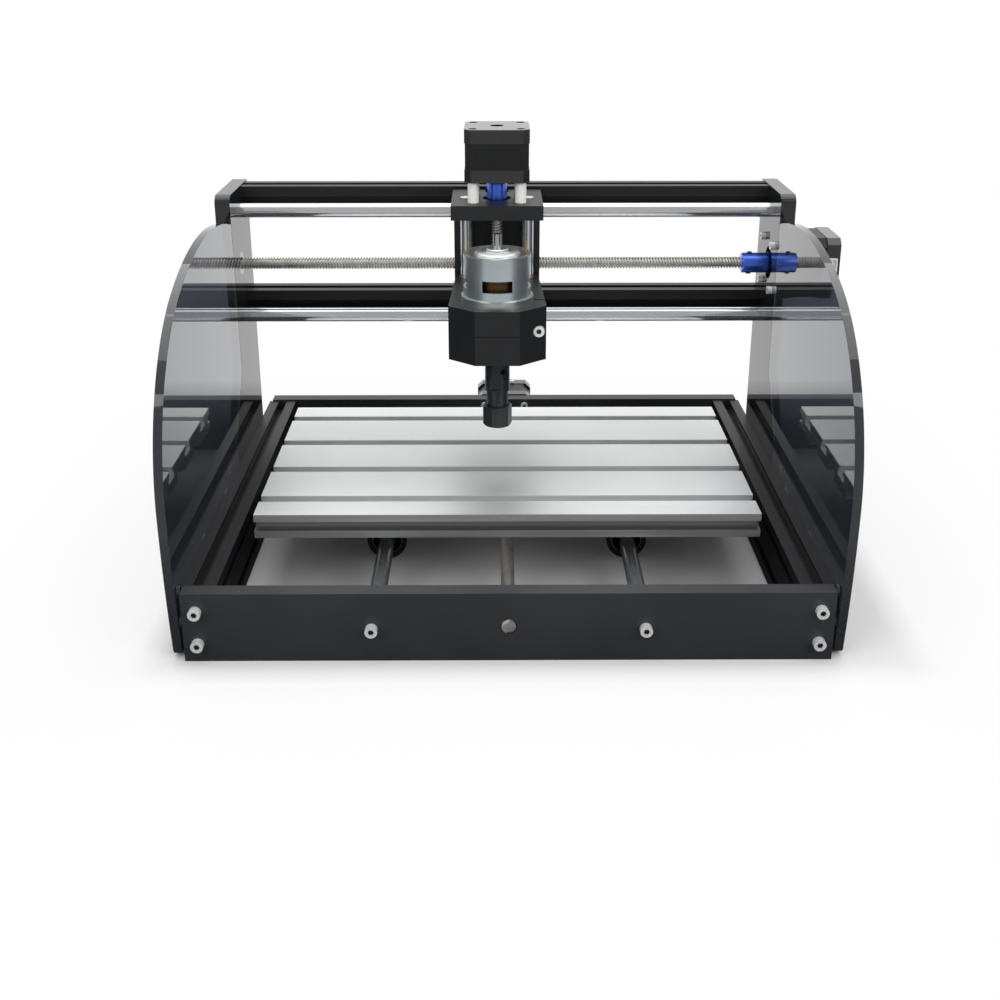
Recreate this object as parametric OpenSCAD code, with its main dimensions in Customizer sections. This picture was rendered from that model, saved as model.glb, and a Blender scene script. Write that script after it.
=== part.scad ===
// Desktop CNC router: moving T-slot table, gantry with a spindle motor, two smoked side guards.
// Millimetres. The sub-parts are drawn from the floor, the centre plane and the front panel's front face;
// the module placed() then moves the row's origin to the bottom centre of the whole box.
// +X is to the operator's right, +Y runs to the rear, +Z is up. Rest pose as in the photo.

/* [Frame] */
// Half of the clear width between the two uprights
frame_half = 182.5; // [170:0.5:200]
// Thickness of the front and rear panels
panel_thick = 10; // [8:0.5:14]
// Height of the front and rear panels above the floor
panel_tall = 42; // [41.5:0.5:48]
// Gap between a panel's end and the guard beside it
panel_end_gap = 2; // [1:0.5:4]
// Length of the two side profiles
profile_len = 298; // [285:1:340]
// Narrow side of the T-slot profiles, also their slot pitch
profile_w = 20; // [18:0.5:22]
// Height of the profiles' underside above the floor
profile_lift = 1; // [0.5:0.25:1.5]

/* [Uprights and guards] */
// Front edge of the uprights behind the front panel's face
upright_front = 213; // [205:1:225]
// Depth of the uprights
upright_deep = 63; // [60:0.5:75]
// Thickness of the uprights
upright_thick = 10; // [8:0.5:12]
// How far the foot of the upright reaches forward
foot_reach = 30; // [20:1:40]
// Height of the vertical front edge of the foot
foot_low = 58; // [52:1:64]
// Height at which the foot meets the straight front edge
foot_high = 98; // [90:1:110]
// Thickness of the acrylic guards
guard_thick = 5; // [3:0.5:7]
// How far the guard bulges ahead of the front panel
guard_bulge = 3; // [0:0.5:8]
// Radius of the guard's front bend
guard_front_r = 112; // [105:1:114]
// Height of the guard's foremost point
guard_nose_z = 90; // [84:1:96]
// Position of the guard's highest point behind the front panel's face
guard_crown_y = 150; // [145:1:156]
// Drop of the guard's crown below the top of the uprights
guard_drop = 10; // [8:0.5:14]
// Radius of the guard's gently curved lower front edge
guard_low_r = 605; // [500:5:900]
// Rounded corners of guard and upright
plate_corner = 6; // [3:0.5:9]

/* [Guide rods and lead screws] */
// Diameter of the X and Y guide rods
rod_d = 10; // [9:0.5:11]
// Vertical distance between the two X rods
x_rod_pitch = 74; // [70:0.5:80]
// Height of the X lead screw above the table's top face
x_axis_rise = 108.3; // [104:0.5:120]
// Distance of the X rods behind the uprights' front edge
x_axis_set = 26; // [24:0.5:30]
// Half of the distance between the two Y rods
y_rod_half = 76; // [70:0.5:90]
// Height of the Y rods above the floor
y_rod_z = 20; // [19:0.25:21]
// Height of the Y lead screw above the floor
y_axis_z = 21.5; // [21.5:0.1:22.5]
// Diameter of the lead screws
screw_d = 8; // [7:0.5:9]
// Diameter of the blue couplings
coupling_d = 14; // [13:0.5:15]
// Length of the blue couplings
coupling_len = 25; // [23:0.5:26]

/* [Stepper motors] */
// Side of the square motor frames
motor_side = 42.3; // [40:0.1:42.5]
// Length of the motors
motor_len = 34; // [30:0.5:40]
// Distance between the motors' fixing holes
motor_hole_pitch = 31; // [30:0.1:32]

/* [Table] */
// Width of the table along X
table_wide = 300; // [270:1:304]
// Depth of the table along Y
table_deep = 180; // [165:1:190]
// Thickness of the table
table_thick = 15; // [14:0.5:18]
// Gap between the panels' top and the table's underside
table_gap = 3; // [2.5:0.25:6]
// Rest position of the table's centre from the frame's middle
table_rest = -6.5; // [-12:0.5:6]
// Width of the table's T-slot openings
slot_open = 8; // [7:0.25:8.5]

/* [X carriage and Z stage] */
// Rest position of the carriage from the centre plane
carriage_x = -5.8; // [-20:0.1:10]
// Width of the carriage's top plate
carriage_wide = 60; // [58:0.5:62]
// Thickness of the carriage's top plate
top_plate_thick = 9.5; // [8:0.25:11]
// Distance of the Z lead screw ahead of the X rods
z_axis_ahead = 19.5; // [19.25:0.25:22]
// Half of the distance between the Z rods
z_rod_half = 20.5; // [19.5:0.25:21]
// Diameter of the Z rods
z_rod_d = 8; // [7:0.25:8.5]
// Height of the nylon standoffs under the Z motor
standoff_tall = 13.5; // [12:0.5:16]
// Diameter of the nylon standoffs
standoff_d = 7.3; // [6.5:0.1:8]

/* [Spindle] */
// Distance of the spindle's axis ahead of the Z lead screw
spindle_ahead = 61.5; // [60:0.5:66]
// Height of the spindle clamp
clamp_tall = 35; // [32:0.5:38]
// Width of the spindle clamp
clamp_wide = 61.5; // [60:0.5:64]
// Diameter of the spindle motor's can
can_d = 42.5; // [40:0.25:43]
// Length of the spindle motor's can
can_len = 65; // [62:0.5:68]
// Height of the can's top above the clamp
can_stand = 31; // [30:0.5:36]
// Diameter of the collet holder
holder_d = 16; // [15.5:0.25:17]
// Diameter of the collet nut
nut_d = 19; // [18.5:0.25:21]
// Height of the collet nut
nut_tall = 13.7; // [12.5:0.1:15]
// Diameter of the collet's bore
collet_bore = 3.175; // [3:0.025:4]

/* [Fits] */
// Radial clearance between a turning or sliding part and its bearing
run_gap = 0.05; // [0.03:0.01:0.08]
// Radial clearance of seats and screw holes
seat_gap = 0.1; // [0.05:0.01:0.15]
// Smallest free gap between parts that move past each other
free_gap = 0.5; // [0.4:0.05:0.8]

/* [Hidden] */
$fn = 64;
eps = 0.02;
// General fasteners: thread, head diameter, head height
m3 = [3, 5.5, 3];
m4 = [4, 7, 4];
tap_depth = 10;
// Frame
profile_h = 2 * profile_w;
profile_x = frame_half - profile_w / 2;
profile_top = profile_lift + profile_h;
rear_front = panel_thick + profile_len;
frame_deep = rear_front + panel_thick;
panel_half = frame_half - panel_end_gap;
core_bore = m4[0] + 2 * seat_gap;
slot_mouth = 6.2;
slot_lip = 1.8;
slot_hollow = 11;
slot_hollow_side = 1.4;
slot_floor = 5.4;
slot_depth = 6;
low_bolt = profile_lift + profile_w / 2;
high_bolt = low_bolt + profile_w;
// Table heights
table_low = panel_tall + table_gap;
table_top = table_low + table_thick;
table_mid = frame_deep / 2 + table_rest;
table_front = table_mid - table_deep / 2;
// X axis
x_axis_y = upright_front + x_axis_set;
x_axis_z = table_top + x_axis_rise;
rod_high = x_axis_z + x_rod_pitch / 2;
rod_low = x_axis_z - x_rod_pitch / 2;
bearing_d = rod_d + 9;
bearing_len = 29;
bearing_groove = 0.7;
carriage_wall = 1.95;
carriage_half_deep = bearing_d / 2 + carriage_wall;
carriage_face = x_axis_y - carriage_half_deep;
carriage_rear = x_axis_y + carriage_half_deep;
beam_gap = 2 * free_gap;
beam_front = carriage_rear + beam_gap;
beam_below = 6;
upright_top = rod_high - beam_below + profile_w + 0.7;
upright_rear = max(upright_front + upright_deep, beam_front + profile_w + 2);
guard_gap = 0.5;
// Couplings: how far they stand proud of the motor's mounting plate
coupling_in = coupling_len - upright_thick + 4;
coupling_back = coupling_len - panel_thick + 4;
shaft_d = 5;
shaft_in = 15;
boss_d = 22;
boss_tall = 2;
screw_ring_d = screw_d + 8;
screw_ring_len = 5;
// Z stage
z_axis_y = x_axis_y - z_axis_ahead;
plate_top = rod_high + bearing_d / 2 + 2.7;
plate_low = plate_top - top_plate_thick;
plate_ahead = 28;
plate_front = z_axis_y - plate_ahead;
carriage_low = rod_low - bearing_d / 2 - 3.3;
flange_thick = 10;
flange_top = carriage_low + flange_thick;
flange_ahead = 13.5;
flange_front = z_axis_y - flange_ahead;
block_wide = carriage_wide - 2;
motor_z = plate_top + standoff_tall;
z_coupling_top = motor_z - boss_tall - free_gap;
z_coupling_low = z_coupling_top - coupling_len;
// Z slide and spindle
slide_low = flange_top + free_gap;
slide_top = slide_low + clamp_tall;
slide_rear = carriage_face - 0.8;
spindle_y = z_axis_y - spindle_ahead;
bush_d = z_rod_d + 3;
bush_len = 12;
z_nut_d = screw_d + 4;
z_nut_len = 12;
coupling_drop = max(0, plate_low - z_coupling_low);
nut_pocket = coupling_drop + free_gap;
nut_pocket_d = coupling_d + 4 * free_gap;
clamp_half = clamp_wide / 2;
clamp_flat_half = 13.9;
clamp_front = spindle_y - can_d / 2 - 5.25;
clamp_shoulder = clamp_front + 13.9;
clamp_waist_y = z_axis_y - 12.5;
clamp_waist_half = clamp_half - 2.25;
clamp_tail_half = z_rod_half + bush_d / 2 + 2;
can_top = slide_top + can_stand;
can_low = can_top - can_len;
can_wall = 1.5;
ring_d = can_d + 3;
ring_tall = 4.3;
window_wide = 18.6;
window_low = 10;
window_tall = 7.4;
cap_thick = 3.5;
cap_boss_d = 14;
cap_boss_tall = 3;
rear_shaft = 12;
holder_top = can_low - 5.5;
holder_len = 20;
thread_d = holder_d - 2;
thread_len = 10.5;
nut_top = holder_top - holder_len - thread_len;
nut_low = nut_top - nut_tall;
collet_d = 11;
nose_d = 8.4;

// Middle of the whole box, seen from above: screw heads at the left and front, motors at the right and rear
row_x = (motor_len - m4[2]) / 2;
row_y = (frame_deep + motor_len - max(guard_bulge, m4[2])) / 2;

// Shared helpers

// Turns +Z into +X, so that lengths run to the right.
module along_x() { rotate([0, 90, 0]) children(); }

// Turns +Z into +Y, so that lengths run to the rear.
module along_y() { rotate([-90, 0, 0]) children(); }

// Draws its children here and mirrored to the other side of the centre plane.
module both_sides() { children(); mirror([1, 0, 0]) children(); }

// Socket head screw: the head lies below z = 0, the shank above.
module cap_screw(size, len) {
    difference() {
        union() {
            translate([0, 0, -size[2]]) cylinder(d = size[1], h = size[2]);
            translate([0, 0, -eps]) cylinder(d = size[0], h = len + eps);
        }
        translate([0, 0, -size[2] - eps]) cylinder(d = 0.9 * size[0], h = 0.55 * size[2], $fn = 6);
    }
}

// Ring along +Z.
module ring(outer, inner, len) {
    difference() {
        cylinder(d = outer, h = len);
        translate([0, 0, -eps]) cylinder(d = inner, h = len + 2 * eps);
    }
}

// One slot of a T-slot profile, opening upwards at y = 0.
module slot_shape() {
    m = slot_mouth / 2;
    w = slot_hollow / 2;
    f = slot_floor / 2;
    polygon([[-m, eps], [m, eps], [m, -slot_lip], [w, -slot_lip], [w, -slot_lip - slot_hollow_side],
        [f, -slot_depth], [-f, -slot_depth], [-w, -slot_lip - slot_hollow_side], [-w, -slot_lip], [-m, -slot_lip]]);
}

// Square with cut corners, centred.
module cut_square(side, cut) {
    s = side / 2;
    c = s - cut;
    polygon([[-c, -s], [c, -s], [s, -c], [s, c], [c, s], [-c, s], [-s, c], [-s, -c]]);
}

// Section of a profile made of one or two squares, lower edge at y = 0, centred on x = 0.
module profile_section(rows) {
    h = rows * profile_w;
    difference() {
        translate([-profile_w / 2, 0]) square([profile_w, h]);
        translate([0, h]) slot_shape();
        rotate(180) slot_shape();
        for (i = [0:rows - 1]) translate([0, (i + 0.5) * profile_w]) {
            circle(d = core_bore);
            translate([profile_w / 2, 0]) rotate(-90) slot_shape();
            translate([-profile_w / 2, 0]) rotate(90) slot_shape();
        }
    }
}

// Stepper, mounting face at z = 0 and the body above: laminated stack between the bells.
bell_front = 8;
bell_rear = 9;
stack_inset = 0.4;
module stepper_stack() {
    translate([0, 0, bell_front]) difference() {
        linear_extrude(motor_len - bell_front - bell_rear) cut_square(motor_side - 2 * stack_inset, 5.5);
        translate([0, 0, -eps]) cylinder(d = shaft_d + 2 * free_gap, h = shaft_in);
    }
}

// Positions of the four motor holes.
module motor_holes() {
    h = motor_hole_pitch / 2;
    for (x = [-h, h], y = [-h, h]) translate([x, y, 0]) children();
}

bell_tap = 4.5;
bell_recess_d = 5.6;
bell_recess = 1.6;
bell_eye_d = 9;
module stepper_bells() {
    difference() {
        union() {
            linear_extrude(bell_front) cut_square(motor_side, 4);
            translate([0, 0, -boss_tall]) cylinder(d = boss_d, h = boss_tall + eps);
        }
        translate([0, 0, -boss_tall - eps]) cylinder(d = shaft_d + 2 * run_gap, h = bell_front + boss_tall + 2 * eps);
        motor_holes() translate([0, 0, -eps]) cylinder(d = m3[0] + 2 * seat_gap, h = bell_tap);
    }
    translate([0, 0, motor_len - bell_rear]) difference() {
        linear_extrude(bell_rear) cut_square(motor_side, 4);
        motor_holes() translate([0, 0, bell_rear - bell_recess]) cylinder(d = bell_recess_d, h = bell_recess + eps);
        translate([0, 0, bell_rear - bell_recess]) cylinder(d = bell_eye_d, h = bell_recess + eps);
    }
}

// Connector on the rear bell's side, standing proud towards +Y.
plug_wide = 16;
plug_deep = 6;
plug_proud = 1.6;
plug_wall = 1;
module stepper_plug() {
    translate([-plug_wide / 2, motor_side / 2, motor_len - bell_rear + 1]) difference() {
        cube([plug_wide, plug_proud, plug_deep]);
        translate([plug_wall, plug_wall / 2, plug_wall])
            cube([plug_wide - 2 * plug_wall, plug_proud, plug_deep - 2 * plug_wall]);
    }
}

// Blue coupling along +Z with its two bores and four set screw holes.
coupling_set_d = 3;
coupling_set_in = 5;
module coupling_body(shaft_end) {
    half = coupling_len / 2;
    difference() {
        cylinder(d = coupling_d, h = coupling_len);
        translate([0, 0, -eps]) cylinder(d = screw_d + 2 * seat_gap, h = half + 2 * eps);
        translate([0, 0, half - eps]) cylinder(d = shaft_end + 2 * seat_gap, h = half + 2 * eps);
        for (z = [coupling_set_in, coupling_len - coupling_set_in]) for (a = [0, 90])
            translate([0, 0, z]) rotate([0, 0, a]) rotate([90, 0, 0]) cylinder(d = coupling_set_d, h = coupling_d);
    }
}

// Ball bearing ring that carries the free end of a lead screw, along +Z.
module screw_ring() { ring(screw_ring_d, screw_d + 2 * run_gap, screw_ring_len); }

// Linear ball bearing along +Z with its two retaining grooves.
module linear_bearing() {
    groove_at = 3.5;
    difference() {
        cylinder(d = bearing_d, h = bearing_len);
        translate([0, 0, -eps]) cylinder(d = rod_d + 2 * run_gap, h = bearing_len + 2 * eps);
        for (z = [groove_at, bearing_len - groove_at - 1.3]) translate([0, 0, z]) difference() {
            cylinder(d = bearing_d + 1, h = 1.3);
            translate([0, 0, -eps]) cylinder(d = bearing_d - bearing_groove, h = 1.3 + 2 * eps);
        }
    }
}

// Frame

// Positions of the panel screws that go into the profiles' core holes.
module panel_bolts() {
    for (s = [-1, 1], z = [low_bolt, high_bolt]) translate([s * profile_x, 0, z]) children();
}

// Positions of the screws that go into the Y rods' ends.
module y_rod_ends() {
    for (s = [-1, 1]) translate([s * y_rod_half, 0, y_rod_z]) children();
}

module panel_blank() {
    translate([-panel_half, 0, 0]) cube([2 * panel_half, panel_thick, panel_tall]);
}

module panel_holes() {
    panel_bolts() along_y() translate([0, 0, -eps]) cylinder(d = m4[0] + 2 * seat_gap, h = panel_thick + 2 * eps);
    y_rod_ends() along_y() translate([0, 0, -eps]) cylinder(d = m4[0] + 2 * seat_gap, h = panel_thick + 2 * eps);
}

module front_panel() {
    color("#1a1b1d") difference() {
        panel_blank();
        panel_holes();
        translate([0, -eps, y_axis_z]) along_y() cylinder(d = screw_d + 2 * free_gap, h = panel_thick + 2 * eps);
        translate([0, panel_thick - screw_ring_len, y_axis_z]) along_y()
            cylinder(d = screw_ring_d + 2 * seat_gap, h = screw_ring_len + eps);
    }
}

module rear_panel() {
    color("#1a1b1d") translate([0, rear_front, 0]) difference() {
        panel_blank();
        panel_holes();
        translate([0, -eps, y_axis_z]) along_y() {
            cylinder(d = boss_d + 2 * seat_gap, h = panel_thick + 2 * eps);
            motor_holes() cylinder(d = m3[0] + 2 * seat_gap, h = panel_thick + 2 * eps);
        }
    }
}

module y_profile() {
    translate([profile_x, rear_front, profile_lift]) rotate([90, 0, 0])
        linear_extrude(profile_len) profile_section(2);
}

module left_y_profile() { color("#1f2022") mirror([1, 0, 0]) y_profile(); }
module right_y_profile() { color("#1f2022") y_profile(); }

// Outline of an upright with its foot, drawn with x to the rear and y up; grow widens the front edge.
module upright_outline(grow) {
    f = upright_front - grow;
    translate([0, profile_lift]) polygon([[upright_rear, 0], [upright_rear, upright_top - profile_lift],
        [f, upright_top - profile_lift], [f, foot_high], [f - foot_reach, foot_low], [f - foot_reach, 0]]);
}

// Places an outline drawn with x to the rear and y up at the inner face of the right side.
module side_plate(thick) {
    translate([frame_half, 0, 0]) rotate([90, 0, 90]) linear_extrude(thick) children();
}

// Positions on the right side's outer face, given as y and z.
module on_side(y, z) { translate([frame_half, y, z]) along_x() children(); }

foot_bolt_y = [upright_front - foot_reach / 2, upright_rear - 12];
module upright_fix() {
    for (y = foot_bolt_y, z = [low_bolt, high_bolt]) on_side(y, z) children();
}

beam_mid_y = beam_front + profile_w / 2;
module cross_fix() {
    for (z = [rod_low, rod_high]) {
        on_side(x_axis_y, z) children();
        on_side(beam_mid_y, z - beam_below + profile_w / 2) children();
    }
}

module upright_plate() {
    difference() {
        side_plate(upright_thick) difference() {
            upright_outline(0);
            translate([upright_front, upright_top]) rotate(-90) difference() {
                translate([-eps, -eps]) square(plate_corner + eps);
                translate([plate_corner, plate_corner]) circle(r = plate_corner);
            }
        }
        upright_fix() translate([0, 0, -eps]) cylinder(d = m4[0] + 2 * seat_gap, h = upright_thick + 2 * eps);
        cross_fix() translate([0, 0, -eps]) cylinder(d = m4[0] + 2 * seat_gap, h = upright_thick + 2 * eps);
    }
}

module left_upright() {
    color("#17181a") mirror([1, 0, 0]) difference() {
        upright_plate();
        on_side(x_axis_y, x_axis_z) {
            translate([0, 0, -eps]) cylinder(d = screw_d + 2 * free_gap, h = upright_thick + 2 * eps);
            translate([0, 0, -eps]) cylinder(d = screw_ring_d + 2 * seat_gap, h = screw_ring_len + eps);
        }
    }
}

module right_upright() {
    color("#17181a") difference() {
        upright_plate();
        on_side(x_axis_y, x_axis_z) translate([0, 0, -eps]) {
            cylinder(d = boss_d + 2 * seat_gap, h = upright_thick + 2 * eps);
            motor_holes() cylinder(d = m3[0] + 2 * seat_gap, h = upright_thick + 2 * eps);
        }
    }
}

// Guard outline from three tangent arcs: lower front, front bend and crown.
guard_crown_z = upright_top - guard_drop;
guard_bend_y = guard_front_r - guard_bulge;
crown_run = guard_crown_y - guard_bend_y;
crown_lift = guard_crown_z - guard_nose_z;
guard_crown_r = (crown_run * crown_run + crown_lift * crown_lift - guard_front_r * guard_front_r)
    / (2 * (crown_lift - guard_front_r));
crown_centre_z = guard_crown_z - guard_crown_r;
crown_span = guard_crown_r - guard_front_r;
guard_join_y = guard_bend_y - guard_front_r * crown_run / crown_span;
guard_rear = upright_front - guard_gap;
toe_rise = guard_nose_z - profile_lift - plate_corner;
guard_toe = guard_low_r - guard_bulge - sqrt(guard_low_r * guard_low_r - toe_rise * toe_rise);
module guard_outline() {
    difference() {
        union() {
            intersection() {
                translate([guard_low_r - guard_bulge, guard_nose_z]) circle(r = guard_low_r, $fn = 256);
                translate([-guard_bulge - 1, 0]) square([guard_rear + guard_bulge + 1, guard_nose_z]);
            }
            intersection() {
                translate([guard_bend_y, guard_nose_z]) circle(r = guard_front_r, $fn = 128);
                translate([-guard_bulge - 1, guard_nose_z]) square([guard_join_y + guard_bulge + 1, guard_front_r]);
            }
            intersection() {
                translate([guard_crown_y, crown_centre_z]) circle(r = guard_crown_r, $fn = 256);
                translate([guard_join_y, guard_nose_z])
                    square([guard_rear - guard_join_y, upright_top - guard_nose_z]);
            }
        }
        upright_outline(guard_gap);
        translate([-guard_bulge - 2, -eps]) square([upright_rear, profile_lift + eps]);
        translate([guard_toe, profile_lift]) difference() {
            translate([-guard_bulge - 2, -eps]) square([plate_corner + guard_bulge + 2, plate_corner + eps]);
            translate([plate_corner, plate_corner]) circle(r = plate_corner);
            translate([-guard_bulge - 2, plate_corner]) square([2 * plate_corner, plate_corner]);
        }
    }
}

// Guard screws in the outer slots of the side profile.
guard_bolt_first = 23;
guard_bolt_pitch = 67;
module guard_fix() {
    for (i = [0:2], z = [low_bolt, high_bolt]) on_side(guard_bolt_first + i * guard_bolt_pitch, z) children();
}

module guard_plate() {
    difference() {
        side_plate(guard_thick) guard_outline();
        guard_fix() translate([0, 0, -eps]) cylinder(d = m4[0] + 2 * seat_gap, h = guard_thick + 2 * eps);
    }
}

module left_guard() { color("#44464c") mirror([1, 0, 0]) guard_plate(); }
module right_guard() { color("#44464c") guard_plate(); }

module x_beams() {
    color("#1f2022") for (z = [rod_low, rod_high])
        translate([-frame_half, beam_mid_y, z - beam_below]) rotate([90, 0, 90])
            linear_extrude(2 * frame_half) profile_section(1);
}

// Rod along +Z with a tapped hole in each end.
module tapped_rod(len) {
    difference() {
        cylinder(d = rod_d, h = len);
        for (z = [-eps, len - tap_depth]) translate([0, 0, z]) cylinder(d = core_bore, h = tap_depth + eps);
    }
}

module x_rods() {
    color("#c9ccd0") for (z = [rod_low, rod_high])
        translate([-frame_half, x_axis_y, z]) along_x() tapped_rod(2 * frame_half);
}

module y_rods() {
    color("#c9ccd0") for (s = [-1, 1]) translate([s * y_rod_half, panel_thick, y_rod_z]) along_y()
        tapped_rod(profile_len);
}

// Seats of the X and Y motors: +Z leads out of the machine, the plug side is given by each placement.
module at_x_motor() {
    translate([frame_half + upright_thick, x_axis_y, x_axis_z]) rotate([0, 90, 0]) rotate([0, 0, 180]) children();
}
module at_y_motor() { translate([0, frame_deep, y_axis_z]) rotate([-90, 0, 0]) rotate([0, 0, 180]) children(); }
module at_z_motor() { translate([carriage_x, z_axis_y, motor_z]) children(); }

module x_motor_stack() { color("#161719") at_x_motor() stepper_stack(); }
module x_motor_bells() { color("#202124") at_x_motor() stepper_bells(); }
module y_motor_stack() { color("#161719") at_y_motor() stepper_stack(); }
module y_motor_bells() { color("#202124") at_y_motor() stepper_bells(); }
module motor_connectors() {
    color("#e9e8e2") {
        at_x_motor() stepper_plug();
        at_y_motor() stepper_plug();
    }
}

rod_grip = 7;
module frame_screws() {
    color("#c4c6c8") for (m = [0, 1]) translate([0, m * frame_deep, 0]) mirror([0, m, 0]) {
        panel_bolts() along_y() cap_screw(m4, panel_thick + rod_grip);
        y_rod_ends() along_y() cap_screw(m4, panel_thick + rod_grip);
    }
}

module guard_screws() {
    color("#c4c6c8") both_sides() guard_fix()
        translate([0, 0, guard_thick]) rotate([180, 0, 0]) cap_screw(m4, guard_thick + slot_lip);
}

module upright_screws() {
    color("#c4c6c8") both_sides() {
        upright_fix() translate([0, 0, upright_thick]) rotate([180, 0, 0]) cap_screw(m4, upright_thick + slot_lip);
        cross_fix() translate([0, 0, upright_thick]) rotate([180, 0, 0]) cap_screw(m4, upright_thick + rod_grip);
    }
}

bell_grip = 4;
module motor_screws() {
    color("#c4c6c8") {
        on_side(x_axis_y, x_axis_z) motor_holes() cap_screw(m3, upright_thick + bell_grip);
        translate([0, rear_front, y_axis_z]) along_y() motor_holes() cap_screw(m3, panel_thick + bell_grip);
    }
}

module screw_bearings() {
    color("#b9bcc0") {
        translate([0, panel_thick - screw_ring_len, y_axis_z]) along_y() screw_ring();
        mirror([1, 0, 0]) on_side(x_axis_y, x_axis_z) screw_ring();
    }
}

// Table

slot_pitch = table_deep / 4;
slot_top_lip = 3;
slot_cave_wide = slot_open + 6;
slot_cave_deep = 4.5;
edge_groove = 5.6;
edge_groove_deep = 6;
edge_low_lip = 4.7;
cell_wall = 3.5;
cell_wide = slot_pitch - slot_cave_wide - 2 * cell_wall;
cell_skin = 2.5;
recess_deep = 6;
cell_tall = table_thick - recess_deep - 2 * cell_skin;
recess_wide = cell_wide - 2 * cell_wall;
tap_in = 3;
module table_section() {
    difference() {
        square([table_deep, table_thick]);
        for (i = [0:3]) translate([(i + 0.5) * slot_pitch, table_thick]) {
            translate([-slot_open / 2, -slot_top_lip - eps]) square([slot_open, slot_top_lip + 2 * eps]);
            translate([-slot_cave_wide / 2, -slot_top_lip - slot_cave_deep]) square([slot_cave_wide, slot_cave_deep]);
        }
        for (y = [-eps, table_deep - edge_groove_deep])
            translate([y, edge_low_lip]) square([edge_groove_deep + eps, edge_groove]);
        for (i = [1:3]) translate([i * slot_pitch, 0]) {
            translate([-cell_wide / 2, recess_deep + cell_skin]) square([cell_wide, cell_tall]);
            translate([-recess_wide / 2, -eps]) square([recess_wide, recess_deep + eps]);
        }
    }
}

// Positions of the screws under the table, on its underside.
block_wide_y = 25;
block_wing = 40;
block_wing_tall = 6;
block_len = bearing_len + 1;
block_inset = 46;
block_near = table_front + block_inset;
block_far = table_front + table_deep - block_inset - block_len;
nut_block_wide = 26;
nut_block_len = 30;
block_screw = 16.5;
nut_block_mid = table_front + 2.5 * slot_pitch;
module table_screw_spots() {
    for (s = [-1, 1], y = [block_near, block_far], t = [-1, 1])
        translate([s * y_rod_half + t * block_screw, y + block_len / 2, table_low]) children();
    for (t = [-1, 1]) translate([t * block_screw, nut_block_mid, table_low]) children();
}

module table_plate() {
    color("#cfd1d2") difference() {
        translate([-table_wide / 2, table_front, table_low]) rotate([90, 0, 90])
            linear_extrude(table_wide) table_section();
        table_screw_spots() translate([0, 0, -eps]) cylinder(d = m4[0] + 2 * seat_gap, h = tap_in + eps);
    }
}

// One bearing block under the table, its front face at y = 0.
module bearing_block() {
    difference() {
        union() {
            translate([0, 0, y_rod_z]) along_y() cylinder(d = block_wide_y, h = block_len);
            translate([-block_wide_y / 2, 0, y_rod_z]) cube([block_wide_y, block_len, table_low - y_rod_z]);
            translate([-block_wing / 2, 0, table_low - block_wing_tall])
                cube([block_wing, block_len, block_wing_tall]);
        }
        translate([0, -eps, y_rod_z]) along_y() cylinder(d = bearing_d + 2 * seat_gap, h = block_len + 2 * eps);
        for (t = [-1, 1]) translate([t * block_screw, block_len / 2, table_low - block_wing_tall - eps])
            cylinder(d = m4[0] + 2 * seat_gap, h = block_wing_tall + 2 * eps);
    }
}

module block_spots() {
    for (s = [-1, 1], y = [block_near, block_far]) translate([s * y_rod_half, y, 0]) children();
}

module table_bearing_blocks() { color("#151617") block_spots() bearing_block(); }
module table_bearings() {
    color("#8f9296") block_spots() translate([0, (block_len - bearing_len) / 2, y_rod_z]) along_y() linear_bearing();
}

// Nut with a flange at its start, along +Z.
nut_body_d = screw_d + 2.2;
nut_len = 15;
nut_flange = 3.5;
nut_flange_d = 18;
module flange_nut() {
    difference() {
        union() {
            cylinder(d = nut_body_d, h = nut_len);
            cylinder(d = nut_flange_d, h = nut_flange);
        }
        translate([0, 0, -eps]) cylinder(d = screw_d + 2 * run_gap, h = nut_len + 2 * eps);
    }
}

nut_block_front = nut_block_mid - nut_block_len / 2;
nut_block_low = y_axis_z - nut_flange_d / 2 - 2;
module y_nut_block() {
    color("#151617") difference() {
        union() {
            translate([-nut_block_wide / 2, nut_block_front, nut_block_low])
                cube([nut_block_wide, nut_block_len, table_low - nut_block_low]);
            translate([-block_wing / 2, nut_block_front, table_low - block_wing_tall])
                cube([block_wing, nut_block_len, block_wing_tall]);
        }
        translate([0, nut_block_front - eps, y_axis_z]) along_y() {
            cylinder(d = screw_d + 2 * free_gap, h = nut_block_len + 2 * eps);
            cylinder(d = nut_body_d + 2 * seat_gap, h = nut_len + eps);
            cylinder(d = nut_flange_d + 2 * seat_gap, h = nut_flange + eps);
        }
        for (t = [-1, 1]) translate([t * block_screw, nut_block_mid, table_low - block_wing_tall - eps])
            cylinder(d = m4[0] + 2 * seat_gap, h = block_wing_tall + 2 * eps);
    }
}

module y_nut() { color("#b08d57") translate([0, nut_block_front, y_axis_z]) along_y() flange_nut(); }

module table_screws() {
    color("#c4c6c8") table_screw_spots() translate([0, 0, -block_wing_tall])
        cap_screw(m4, block_wing_tall + tap_in);
}

// X carriage

module at_carriage() { translate([carriage_x, 0, 0]) children(); }

// Positions of the Z rods, seen from above.
module z_rod_spots() { for (s = [-1, 1]) translate([s * z_rod_half, z_axis_y, 0]) children(); }

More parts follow.
